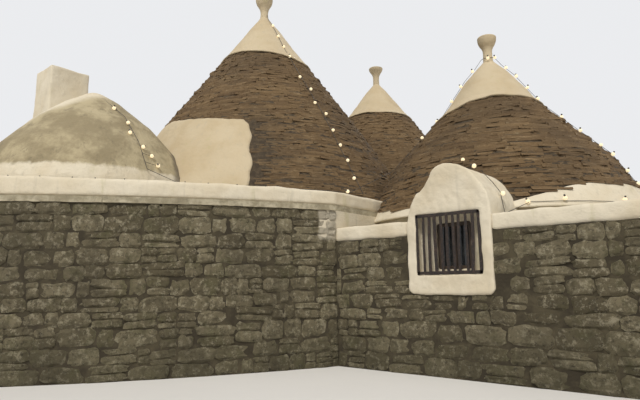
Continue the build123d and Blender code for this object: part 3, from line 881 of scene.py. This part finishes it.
def wall_runs():
    """Every stretch of stone wall: its place function, length and height."""
    street_end, end_facing = street_wall_place(STREET_LENGTH)
    end_wall_rise = (block_left - street_end.x) * math.tan(end_facing)
    left_front = Vector((block_left, street_end.y + end_wall_rise))
    left_back = Vector((block_left, block_back))
    right_back = Vector((corner.x, block_back))
    wing_join = Vector((corner.x, wing_back))
    wing_far = Vector((wing_right, wing_back))
    wing_near = Vector((wing_right, corner.y))
    runs = [(street_wall_place, STREET_LENGTH, block_top)]
    for start, end, top in (
        (street_end, left_front, block_top),
        (left_front, left_back, block_top),
        (left_back, right_back, block_top),
        (right_back, wing_join, block_top),
        (wing_join, wing_far, wing_top),
        (wing_far, wing_near, wing_top),
        (wing_near, corner, wing_top),
    ):
        place, length = straight_place(start, end)
        runs.append((place, length, top))
    return runs


def in_gap(point, height):
    """True where the entrance or the window surround takes the place of stones."""
    if on_window_wall(point) and surround_low.x + 0.05 < point.x < surround_high.x - 0.05:
        return height > surround_low.z + 0.03
    door_low, door_high = boxes["door_frame"]
    if abs(point.x - block_left) < ON_WALL and door_low.y - 0.1 < point.y < door_high.y + 0.1:
        return height < door_high.z + 0.08
    return False


def by_surround(point, height):
    """True beside the window surround, whose plaster laps over the stones."""
    beside = surround_low.x - 0.4 < point.x < surround_high.x + 0.4
    return on_window_wall(point) and beside and height > surround_low.z - 0.2


def on_window_wall(point):
    return abs(point.y - corner.y) < ON_WALL


def course_heights(top, dice):
    """Heights of the beds between courses, from the ground to the top of a wall."""
    heights = [dice.uniform(*COURSE_SPREAD) for _ in range(round(top / COURSE_HEIGHT))]
    beds = [0.0]
    for height in heights:
        beds.append(beds[-1] + height * top / sum(heights))
    return beds


def wave_at(distance, height, top, number):
    """Rise or fall of a bed, which dies out at the ground and at the top."""
    fade = min(1.0, height / 0.4, max(0.0, top - height) / 0.3)
    return COURSE_WAVE * fade * 2 * noise.noise(Vector((distance * 0.55, height * 1.3, number * 7.3)))


def parted(low, high, dice):
    """A cell of a course as one stone, or as two or three thin ones over each other."""
    share = dice.random()
    if share < WHOLE_SHARE:
        return [(low, high)]
    if share < WHOLE_SHARE + HALVED_SHARE:
        cut = low + (high - low) * dice.uniform(0.34, 0.66)
        return [(low, cut), (cut, high)]
    third = (high - low) / 3
    return [(low, low + third), (low + third, high - third), (high - third, high)]


def wall_stone_places():
    """Rubble of all the walls, roughly coursed on wandering beds."""
    dice = random.Random(WALL_SEED)
    places = []
    for number, (place, length, top) in enumerate(wall_runs()):
        beds = course_heights(top, dice)
        for low, high in zip(beds, beds[1:]):
            distance = -dice.uniform(0.0, 0.3)
            while distance < length:
                width = STONE_WIDTH * dice.uniform(*WIDTH_SPREAD)
                first = max(distance, 0.0)
                last = min(distance + width, length)
                distance += width
                if last - first < SMALLEST_STONE:
                    continue
                middle = (first + last) / 2
                point, facing = place(middle)
                for foot, head in parted(low, high, dice):
                    foot += wave_at(middle, foot, top, number)
                    head += wave_at(middle, head, top, number)
                    rise = (foot + head) / 2
                    if in_gap(point, rise):
                        continue
                    before, after = (wave_at(middle + step, rise, top, number) for step in (-0.1, 0.1))
                    lean = (after - before) / 0.2
                    proud = STONE_PROUD * dice.uniform(*PROUD_SPREAD)
                    if by_surround(point, rise):
                        proud = min(proud, SURROUND_LAP)
                    centre = point + Vector((math.cos(facing), math.sin(facing))) * (proud - STONE_DEPTH / 2)
                    size = (STONE_DEPTH, last - first - STONE_JOINT, head - foot - STONE_JOINT)
                    roll = lean + dice.gauss(0, 0.035)
                    if dice.random() < 0.5:
                        roll += math.pi
                    turn = (roll, dice.gauss(0, 0.03), facing + dice.gauss(0, 0.03))
                    places.append(((centre.x, centre.y, rise), turn, size, dice.betavariate(1.3, 1.5)))
    return places


def cornice_places():
    """Thin pale stones that edge the top of the tall block's walls under the parapet."""
    dice = random.Random(WALL_SEED + 1)
    low, high = boxes["block_cornice"]
    places = []
    for number, (place, length, top) in enumerate(wall_runs()):
        if top < block_top:
            continue
        distance = 0.0
        while distance < length:
            width = min(dice.uniform(*CORNICE_WIDTHS), length - distance)
            point, facing = place(distance + width / 2)
            distance += width
            if width < 0.1:
                continue
            reach = CORNICE_PROUD + dice.uniform(0.0, 0.014) - CORNICE_DEPTH / 2
            centre = point + Vector((math.cos(facing), math.sin(facing))) * reach
            size = (CORNICE_DEPTH, width - 0.006, (high.z - low.z) * dice.uniform(0.84, 0.99))
            turn = (dice.gauss(0, 0.006), dice.gauss(0, 0.01), facing)
            places.append(((centre.x, centre.y, (low.z + high.z) / 2 - 0.004), turn, size, dice.random()))
    return places


# Cones

class Cone:
    """Outer form of one cone, with the lower edge of its white cap."""

    def __init__(self, name, slope, pinnacle, cap_edge):
        pin = boxes[name + "_pinnacle"]
        self.name = name
        self.x = (pin[0].x + pin[1].x) / 2
        self.y = (pin[0].y + pin[1].y) / 2
        self.slope = slope
        self.pinnacle = pinnacle
        self.cap_edge = cap_edge
        self.eave_z = slope[0][1]
        self.cap_z = slope[2][1]

    def radius(self, height):
        """Radius of the slope at a height, and nothing under the eave."""
        return radius_at(self.slope, height) if height >= self.eave_z else 0.0

    def covers(self, x, y, height, margin=0.0):
        """True if a point is inside this cone."""
        return math.hypot(x - self.x, y - self.y) < self.radius(height) - margin

    def cap_foot(self, heading):
        """Height of the wavering lower edge of the cap at a heading in degrees."""
        turn = math.radians(heading)
        waver = noise.noise(Vector((2.6 * math.cos(turn), 2.6 * math.sin(turn), self.cap_z)))
        ripple = noise.noise(Vector((9 * math.cos(turn), 9 * math.sin(turn), self.cap_z)))
        return read_at(self.cap_edge, heading) + 0.035 * waver + 0.018 * ripple

    def point(self, heading, height, lift):
        """Point lifted square off the slope."""
        taper = radius_at(self.slope, height) - radius_at(self.slope, height + 0.001)
        outward = lift / math.hypot(1, taper * 1000)
        turn = math.radians(heading)
        reach = radius_at(self.slope, height) + outward
        return (self.x + reach * math.cos(turn), self.y + reach * math.sin(turn), height + outward * taper * 1000)


def dome_covers(x, y, height):
    """True if a point is inside the dome."""
    if height > DOME_SLOPE[-1][1]:
        return False
    reach = DOME_SLOPE[0][0] if height < DOME_SLOPE[0][1] else radius_at(DOME_SLOPE, height)
    return math.hypot(x - DOME_CENTRE[0], y - DOME_CENTRE[1]) < reach


def in_coat(cone, heading, height):
    """True where the plaster coat covers the main cone."""
    if cone is not main_cone or not COAT_LEFT < heading:
        return False
    return heading < read_at(COAT_RIGHT, height) - 0.4 and height < read_at(COAT_TOP, heading) - 0.03


def over_open_foot(heading, height):
    """Height above the wing cone's limewashed foot, and 1 where there is none."""
    for left, right, tops in OPEN_FEET:
        if left < heading < right:
            return height - read_at(tops, heading)
    return 1.0


def hidden_slab(cone, x, y, height):
    """True where a slab would lie inside a neighbour that the cone leans on."""
    if cone is not main_cone and main_cone.covers(x, y, height, 0.08):
        return True
    if cone is main_cone and (rear_cone.covers(x, y, height, 0.12) or wing_cone.covers(x, y, height, 0.12)):
        return True
    if cone is rear_cone and wing_cone.covers(x, y, height, 0.12):
        return True
    if cone is wing_cone:
        if x < corner.x - 0.02 and height < parapet_top:
            return True
        if over_open_foot(math.degrees(math.atan2(y - cone.y, x - cone.x)), height) < -0.01:
            return True
        half = (surround_high.x - surround_low.x) / 2 * read_at(SURROUND_WIDTHS, height)
        if y < cone.y and height < surround_high.z - 0.06 and abs(x - surround_x) < half:
            return True
    return dome_covers(x, y, height)


def slab_places(cone, seed):
    """Thin slabs in rings, each ring set in from the one below."""
    dice = random.Random(seed)
    places = []
    foot = cone.eave_z - 0.01
    while foot < cone.cap_z + 0.2:
        height = SLAB_HEIGHT * dice.uniform(*SLAB_HEIGHT_SPREAD)
        base = cone.radius(max(foot, cone.eave_z) + 0.002)
        angle = dice.uniform(0, math.tau)
        last = angle + math.tau
        while angle < last:
            width = min(SLAB_WIDTH * dice.uniform(*SLAB_WIDTH_SPREAD), base * 0.5)
            step = width / base
            middle = angle + step / 2
            angle += step
            heading = math.degrees(middle) % 360
            heading = heading - 360 if heading > 180 else heading
            sag = 0.022 * noise.noise(Vector((2.2 * math.cos(middle), 2.2 * math.sin(middle), foot * 0.5)))
            rise = foot + height / 2 + sag
            radius = base - sag * 0.7
            x = cone.x + radius * math.cos(middle)
            y = cone.y + radius * math.sin(middle)
            if rise > cone.cap_foot(heading) + 0.015 or in_coat(cone, heading, rise):
                continue
            if hidden_slab(cone, x, y, rise):
                continue
            if dice.random() < LOST_SLABS:
                continue
            proud = SLAB_PROUD + dice.gauss(0, 0.0045)
            if cone is main_cone and heading < read_at(COAT_RIGHT, rise) + 7 and rise < COAT_TOP[-1][1]:
                proud -= SLAB_SET_BACK
            if cone is wing_cone and over_open_foot(heading, rise) < SKIRT_DEPTH:
                proud += SKIRT_PROUD
            reach = radius + proud - SLAB_DEPTH / 2
            centre = (cone.x + reach * math.cos(middle), cone.y + reach * math.sin(middle), rise)
            size = (SLAB_DEPTH, width - 0.002, height * dice.uniform(0.92, 1.04))
            turn = (dice.gauss(0, 0.014), dice.gauss(0.02, 0.03), middle + dice.gauss(0, 0.03))
            tone = dice.betavariate(2.6, 3.0)
            off_pale = (abs(heading - PALE_SLAB[0]), abs(rise - PALE_SLAB[1]))
            if cone is main_cone and off_pale[0] < PALE_SLAB_NEAR[0] and off_pale[1] < PALE_SLAB_NEAR[1]:
                tone = 1.0
            places.append((centre, turn, size, tone))
        foot += height
    return places


def flowing(points, steps=5):
    """Smooth line through some radii and heights."""
    ends = [points[0], *points, points[-1]]
    line = []
    for before, first, second, after in zip(ends, ends[1:], ends[2:], ends[3:]):
        for step in range(steps):
            share = step / steps
            line.append(tuple(
                0.5 * (
                    2 * q + (r - p) * share + (2 * p - 5 * q + 4 * r - s) * share ** 2
                    + (3 * q - p - 3 * r + s) * share ** 3
                )
                for p, q, r, s in zip(before, first, second, after)
            ))
    line.append(points[-1])
    return line


def white_cap(cone, finish):
    """White cap that laps over the top slabs, runs up in a hollow curve and ends in the pinnacle."""
    sides = CAP_SIDES
    join = cone.cap_z + 0.25
    crown = [(radius_at(cone.slope, join) + 0.016, join), *cone.slope[3:], *cone.pinnacle]
    crown = flowing(crown)[:-1]
    plug_z = cone.cap_z - 0.03
    columns = []
    for index in range(sides):
        heading = 360 * index / sides - 180
        turn = math.radians(heading)
        low = cone.cap_foot(heading)
        column = [(radius_at(cone.slope, plug_z) - 0.16, plug_z)]
        for above, proud, rise in CAP_LIP:
            column.append((radius_at(cone.slope, low + above) + proud, low + rise))
        for step in range(8):
            share = step / 7
            height = low + 0.10 + (join - 0.03 - low - 0.10) * share
            column.append((radius_at(cone.slope, height) + 0.042 - 0.026 * share, height))
        column += crown
        placed = []
        for radius, height in column:
            spot = Vector((cone.x + radius * math.cos(turn), cone.y + radius * math.sin(turn), height))
            reach = radius + 0.020 * min(1.0, radius / 0.35) * swell_at(spot, 0.42)
            placed.append((cone.x + reach * math.cos(turn), cone.y + reach * math.sin(turn), height))
        columns.append(placed)
    rows = list(zip(*columns))
    points, faces = grid_of(rows, True)
    points += [(cone.x, cone.y, plug_z), (cone.x, cone.y, cone.pinnacle[-1][1])]
    last = len(points) - 2 - sides
    for index in range(sides):
        after = (index + 1) % sides
        faces.append((after, index, len(points) - 2))
        faces.append((last + index, last + after, len(points) - 1))
    piece = smooth_piece(cone.name + "_white_cap", points, faces)
    return finished(piece, finish, (cone.name + "_cone_cap", cone.name + "_pinnacle"))


def plaster_sheet(name, cone, left, right_at, foot, top_at, proud, swell):
    """Hand-laid plaster on a cone's slope, between two headings, with wandering edges."""
    across, up = SHEET_STEPS
    widest = max(right_at(foot), right_at(top_at(0) - 0.1))
    sheets = []
    for lift in (proud, -SHEET_SINK):
        rows = []
        for level in range(up + 1):
            row = []
            for index in range(across + 1):
                share = index / across
                rough = left + (widest - left) * share
                top = top_at(rough) + 0.02 * noise.noise(Vector((rough * 0.22, 1.0, 0.0)))
                height = foot + (top - foot) * level / up
                right = right_at(height) + 0.7 * noise.noise(Vector((0.0, height * 3.1, 2.0)))
                turn = math.radians(left + (right - left) * share)
                at_edge = min(index, across - index, level, up - level)
                reach = radius_at(cone.slope, max(height, cone.eave_z)) + lift
                if lift > 0:
                    reach -= (0.020, 0.004)[at_edge] if at_edge < 2 else 0.0
                    reach += swell * swell_at(Vector((3 * math.cos(turn), 3 * math.sin(turn), height)), 0.5)
                row.append((cone.x + reach * math.cos(turn), cone.y + reach * math.sin(turn), height))
            rows.append(row)
        sheets.append(grid_of(rows, False))
    points = sheets[0][0] + sheets[1][0]
    shift = len(sheets[0][0])
    faces = sheets[0][1] + [tuple(shift + place for place in face) for face in sheets[1][1]]
    rim = rim_of(across + 1, up + 1)
    for first, second in zip(rim, rim[1:] + rim[:1]):
        faces.append((first, second, shift + second, shift + first))
    return smooth_piece(name, points, faces)


# Window

def flat_bar(shape, low, high, bevel=0.002):
    """Add a bevelled bar between two corners."""
    made = bmesh.ops.create_cube(shape, size=1.0)
    centre = (Vector(low) + Vector(high)) / 2
    size = Vector(high) - Vector(low)
    for vertex in made["verts"]:
        vertex.co = vertex.co * size + centre
    edges = {edge for vertex in made["verts"] for edge in vertex.link_edges}
    bmesh.ops.bevel(shape, geom=list(edges), offset=bevel, segments=1, affect="EDGES")


def bar_piece(name, shape, finish):
    """Finished piece from bars, with their faces turned outwards."""
    bmesh.ops.recalc_face_normals(shape, faces=shape.faces)
    mesh = bpy.data.meshes.new(name)
    shape.to_mesh(mesh)
    shape.free()
    return finished(object_from(name, mesh), finish)


def window_bars(finish):
    """Upright flat bars of the grille, bent a little out of true, between a top and a bottom rail."""
    low, high = boxes["window_grille_frame"]
    dice = random.Random(BAR_SEED)
    shape = bmesh.new()
    pitch = (high.x - low.x - 2 * GRILLE_INSET) / (BAR_COUNT + 1)
    for index in range(BAR_COUNT):
        middle = low.x + GRILLE_INSET + pitch * (index + 1) + dice.gauss(0, 0.004)
        lean = dice.gauss(0, 0.011)
        bow = dice.gauss(0, 0.009)
        half = BAR_WIDTH * dice.uniform(0.85, 1.15) / 2
        section = (
            (-half, -0.001), (0.003 - half, -0.004), (half - 0.003, -0.004),
            (half, -0.001), (half, 0.005), (-half, 0.005),
        )
        rings = []
        for step in range(BAR_STEPS + 1):
            share = step / BAR_STEPS
            z = low.z + 0.012 + (high.z - low.z - 0.024) * share
            x = middle + lean * (share - 0.5) + bow * math.sin(math.pi * share) + dice.gauss(0, 0.0012)
            rings.append([shape.verts.new((x + across, low.y + 0.003 + out, z)) for across, out in section])
        for first, second in zip(rings, rings[1:]):
            for side in range(6):
                after = (side + 1) % 6
                shape.faces.new((first[side], first[after], second[after], second[side]))
        shape.faces.new(rings[0][::-1])
        shape.faces.new(rings[-1])
    for z in (high.z - 0.025, low.z + 0.025):
        flat_bar(shape, (low.x + 0.004, low.y - 0.004, z - 0.024), (high.x - 0.004, low.y + 0.004, z + 0.024))
    for x in (low.x + 0.022, high.x - 0.022):
        flat_bar(shape, (x - 0.021, low.y - 0.004, low.z + 0.002), (x + 0.021, low.y + 0.004, high.z - 0.002))
    return bar_piece("window_bars", shape, finish)


def door_boards(finish):
    """Upright boards on the entrance door, cut to its arch, with two ledges."""
    low, high = boxes["door_leaf"]
    half = (high.y - low.y) / 2
    centre = (high.y + low.y) / 2
    spring = high.z - half
    pitch = (high.y - low.y) / BOARD_COUNT
    shape = bmesh.new()
    for index in range(BOARD_COUNT):
        left = low.y + pitch * index + BOARD_GAP / 2
        right = left + pitch - BOARD_GAP
        far_side = max(abs(left - centre), abs(right - centre))
        top = spring + math.sqrt(max(0.0, half * half - far_side * far_side)) - 0.004
        flat_bar(shape, (low.x - 0.014, left, low.z + 0.004), (low.x - 0.0005, right, top), 0.004)
    for z in (low.z + 0.25, spring - 0.15):
        flat_bar(shape, (low.x - 0.034, low.y + 0.03, z - 0.055), (low.x - 0.0145, high.y - 0.03, z + 0.055), 0.005)
    return bar_piece("door_boards", shape, finish)


# Strings of lights

class Slope:
    """Outer form of the dome, which bulbs sit on as they do on a cone."""

    def __init__(self, centre, slope):
        self.x, self.y = centre
        self.slope = slope

    def point(self, heading, height, lift):
        """Point lifted level off the slope."""
        turn = math.radians(heading)
        reach = radius_at(self.slope, height) + lift
        return (self.x + reach * math.cos(turn), self.y + reach * math.sin(turn), height)


def bulb_places():
    """Places of the lit bulbs, which rest on the roofs beside their cables."""
    dice = random.Random(ROOF_SEED)
    spots = [roof.point(heading, height, BULB_REACH) for roof, _, bulbs in lit_slopes for heading, height in bulbs]
    spots += [wing_cone.point(heading, height, BULB_REACH) for heading, height in NECK_BULBS]
    spots += LOOSE_BULBS
    size = (BULB_SIZE, BULB_SIZE, BULB_SIZE)
    return [(spot, (dice.gauss(0, 0.5), dice.gauss(0, 0.5), 0.0), size, 0.5) for spot in spots]


def tube_along(points, radius):
    """Rows of points of a thin tube along a line."""
    turns = [math.tau * side / LEAD_SIDES for side in range(LEAD_SIDES)]
    rows = []
    for index, point in enumerate(points):
        ahead = Vector(points[min(index + 1, len(points) - 1)]) - Vector(points[max(index - 1, 0)])
        across = ahead.cross(Vector((0, 0, 1))).normalized()
        over = across.cross(ahead).normalized()
        rows.append([Vector(point) + radius * (math.cos(turn) * across + math.sin(turn) * over) for turn in turns])
    return rows


def bulb_leads(finish):
    """Short leads from the cables to the bulbs that sit beside them."""
    points, faces = [], []
    for roof, cable, bulbs in lit_slopes:
        for heading, height in bulbs:
            if abs(heading - cable) < 0.1:
                continue
            line = []
            for step in range(7):
                share = step / 6
                rise = 0.03 * (1 - share) ** 2
                line.append(roof.point(cable + (heading - cable) * share, height + rise, LEAD_LIFT))
            rows = tube_along(line, LEAD_RADIUS)
            tube_points, tube_faces = grid_of(rows, True)
            last = len(tube_points)
            tube_faces += [tuple(range(LEAD_SIDES - 1, -1, -1)), tuple(range(last - LEAD_SIDES, last))]
            faces += [tuple(len(points) + place for place in face) for face in tube_faces]
            points += tube_points
    return finished(smooth_piece("bulb_leads", points, faces), finish)


def clip_places():
    """Cable clips in a row along the top of the street wall's parapet."""
    dice = random.Random(ROOF_SEED + 9)
    places = []
    distance = CLIP_START
    while distance < STREET_LENGTH - 0.3:
        point, facing = street_wall_place(distance + dice.uniform(-0.05, 0.05))
        inside = point - 0.05 * Vector((math.cos(facing), math.sin(facing)))
        height = parapet_top + parapet_rise(inside.x) - CLIP_SIZE * 0.75
        size = (CLIP_SIZE, CLIP_SIZE * dice.uniform(0.7, 1.2), CLIP_SIZE)
        places.append(((inside.x, inside.y, height), (dice.gauss(0, 0.2), dice.gauss(0, 0.2), facing), size, 0.5))
        distance += CLIP_PITCH
    return places


# Stage

def place_camera():
    camera = bpy.data.objects.new("camera", bpy.data.cameras.new("camera"))
    camera.data.sensor_width = 36
    camera.data.lens = 36 * FOCAL_PIXELS / PHOTO_WIDTH
    camera.data.clip_end = 500
    turn = Matrix.Rotation(math.radians(HEADING), 4, "Z")
    tilt = Matrix.Rotation(math.radians(90 + PITCH), 4, "X")
    roll = Matrix.Rotation(math.radians(ROLL), 4, "Z")
    camera.matrix_world = Matrix.Translation(EYE) @ turn @ tilt @ roll
    bpy.context.scene.collection.objects.link(camera)
    bpy.context.scene.camera = camera


def place_stage():
    """Pale floor, pale world and soft lamps."""
    cloudy = [Patches(0.6, 3.0, 0.55, 0.30, 0.70, 1.0, (0.73, 0.72, 0.70))]
    mesh = bpy.data.meshes.new("studio_floor")
    corners = [(x * FLOOR_REACH, y * FLOOR_REACH, 0) for x, y in ((-1, -1), (1, -1), (1, 1), (-1, 1))]
    mesh.from_pydata(corners, [], [(0, 1, 2, 3)])
    floor = object_from("studio_floor", mesh)
    floor.data.materials.append(patched_finish("studio_floor", 0.9, (0.715, 0.705, 0.685), cloudy, []))
    world = bpy.data.worlds.new("studio")
    bpy.context.scene.world = world
    world.use_nodes = True
    sky = world.node_tree
    back = sky.nodes["Background"]
    path = sky.nodes.new("ShaderNodeLightPath")
    seen = calculate(sky, "MAXIMUM", path.outputs["Is Camera Ray"], path.outputs["Is Glossy Ray"])
    seen = calculate(sky, "MAXIMUM", seen, path.outputs["Is Transmission Ray"])
    tint = mix_colours(sky, seen, colour(0.36, 0.36, 0.365), colour(0.83, 0.84, 0.86))
    sky.links.new(tint, back.inputs["Color"])
    for name, heading, height, energy, spread, tint in (
        ("key_lamp", 20, 54, 2.2, 9, (1.0, 0.95, 0.87)),
        ("fill_lamp", 80, 26, 0.45, 30, (1.0, 0.97, 0.93)),
        ("back_lamp", 205, 35, 0.6, 30, (1.0, 0.98, 0.95)),
    ):
        lamp = bpy.data.lights.new(name, "SUN")
        lamp.energy = energy
        lamp.angle = math.radians(spread)
        lamp.color = tint
        holder = bpy.data.objects.new(name, lamp)
        turn = Matrix.Rotation(math.radians(heading), 4, "Z") @ Matrix.Rotation(math.radians(90 - height), 4, "X")
        holder.matrix_world = turn
        bpy.context.scene.collection.objects.link(holder)
    bpy.context.scene.view_settings.view_transform = "Standard"


def carry_over(finishes):
    """Give every CAD node that still shows its own finish."""
    named = {
        "block_cornice": "pale", "floor": "pale", "block_terrace": "pale", "wing_terrace": "pale",
        "window_casement": "wood", "door_frame": "wood", "door_leaf": "wood",
        "window_glass": "glass", "window_grille_frame": "iron",
        "block_light_cable": "sheath", "wing_light_cable": "sheath",
    }
    for name, node in nodes.items():
        key = named.get(name, "limewash")
        if "_wall_" in name:
            key = "mortar"
        elif name.endswith(("cone_lower", "cone_upper")):
            # The cones' bed behind the slabs gets the dark painted shade of the gaps.
            key = "slab_bed"
        node.data.materials.clear()
        node.data.materials.append(finishes[key])


def parapet_rise(x):
    """Rise of the parapet's top, which climbs gently towards the far end of the street wall."""
    return PARAPET_DROP + PARAPET_CLIMB * min(1.0, max(0.0, (corner.x - x) / PARAPET_RUN))


def level_parapet(place):
    """Move a point of the parapet's top to its rise."""
    above = place.z - (parapet_top - PARAPET_TOP_BAND)
    if above > 0:
        place.z += parapet_rise(place.x) * min(1.0, above / 0.1)


main_cone = Cone("main", MAIN_SLOPE, MAIN_PINNACLE, MAIN_CAP_EDGE)
rear_cone = Cone("rear", REAR_SLOPE, REAR_PINNACLE, REAR_CAP_EDGE)
wing_cone = Cone("wing", WING_SLOPE, WING_PINNACLE, WING_CAP_EDGE)
lit_slopes = (
    (main_cone, *MAIN_BULBS),
    (wing_cone, *WING_LEFT_BULBS),
    (wing_cone, *WING_RIGHT_BULBS),
    (Slope(DOME_CENTRE, DOME_SLOPE), *DOME_BULBS),
)


def build():
    place_camera()
    place_stage()
    finishes = {
        "stone": wall_stone_finish(),
        "mortar": wall_mortar_finish(),
        "slab": roof_slab_finish(),
        "dome": dome_mortar_finish(),
        "bulb": bulb_finish(),
        **plain_finishes(),
    }
    carry_over(finishes)
    tree = laying_tree("stone_laying")
    stones = collected("rubble", *(rough_stone(f"rubble_{index:02d}", index + 1) for index in range(12)))
    slabs = collected("slabs", *(roof_slab(f"slab_{index:02d}", index + 40) for index in range(12)))
    for name, places, shapes, finish, slot, roughness in (
        ("wall_stones", wall_stone_places(), stones, "stone", "dry_stone", WALL_ROUGHNESS),
        ("cornice_stones", cornice_places(), slabs, "pale", "cornice_slabs", CORNICE_ROUGHNESS),
    ):
        lay_stones(name, places, shapes, tree, finishes[finish], roughness, WALL_SEED)
    for index, cone in enumerate((main_cone, rear_cone, wing_cone)):
        lay_stones(
            cone.name + "_roof_slabs", slab_places(cone, ROOF_SEED + index), slabs, tree,
            finishes["slab"], SLAB_ROUGHNESS, ROOF_SEED,
        )
        white_cap(cone, finishes["old_limewash"])
    coat = plaster_sheet(
        "main_plaster_coat", main_cone, COAT_LEFT, lambda height: read_at(COAT_RIGHT, height), COAT_FOOT,
        lambda heading: read_at(COAT_TOP, heading), *COAT_RELIEF,
    )
    finished(coat, finishes["old_limewash"], ("main_cone_plaster",))
    for index, (left, right, tops) in enumerate(OPEN_FEET):
        open_foot = plaster_sheet(
            f"wing_open_foot_{index + 1}", wing_cone, left, lambda height: right, OPEN_FOOT_FOOT,
            lambda heading: read_at(tops, heading) + 0.03, *OPEN_FOOT_RELIEF,
        )
        finished(open_foot, finishes["limewash"])
    # Each plastered piece: the CAD nodes it replaces, the voxel size, the height and size of its
    # swells, the rounds of smoothing, its finish and slot, and what reshapes it
    for name, sources, voxel, swell, swell_size, smoothing, finish, slot, reshape in (
        ("parapet_plaster", ("block_parapet",), 0.036, 0.016, 0.45, 5, "limewash", "limewash", level_parapet),
        ("coping_plaster", ("wing_coping",), 0.034, 0.018, 0.32, 5, "limewash", "limewash", None),
        ("dome_plaster", ("dome_shell", "dome_band"), 0.034, 0.020, 0.60, 10, "dome", "weathered_mortar", None),
        ("chimney_plaster", ("chimney_stack",), 0.026, 0.012, 0.40, 5, "limewash", "limewash", None),
        ("surround_plaster", ("window_surround",), 0.020, 0.014, 0.24, 6, "limewash", "limewash", None),
    ):
        piece = hand_plastered(name, sources, voxel, swell, swell_size, smoothing, reshape)
        finished(piece, finishes[finish], sources)
    bulb_leads(finishes["sheath"])
    window_bars(finishes["iron"])
    door_boards(finishes["wood"])
    globe = round_shape("globe", GLOBE_PROFILE)
    holder = round_shape("holder", HOLDER_PROFILE, 8)
    for name, places, shape, finish, slot in (
        ("light_bulbs", bulb_places(), globe, "bulb", "window_glass"),
        ("bulb_holders", bulb_places(), holder, "sheath", "cable_sheath"),
        ("parapet_clips", clip_places(), holder, "sheath", "cable_sheath"),
    ):
        shapes = collected(name + "_shape", shape)
        lay_stones(name, places, shapes, tree, finishes[finish], NO_ROUGHNESS, 1)


build()
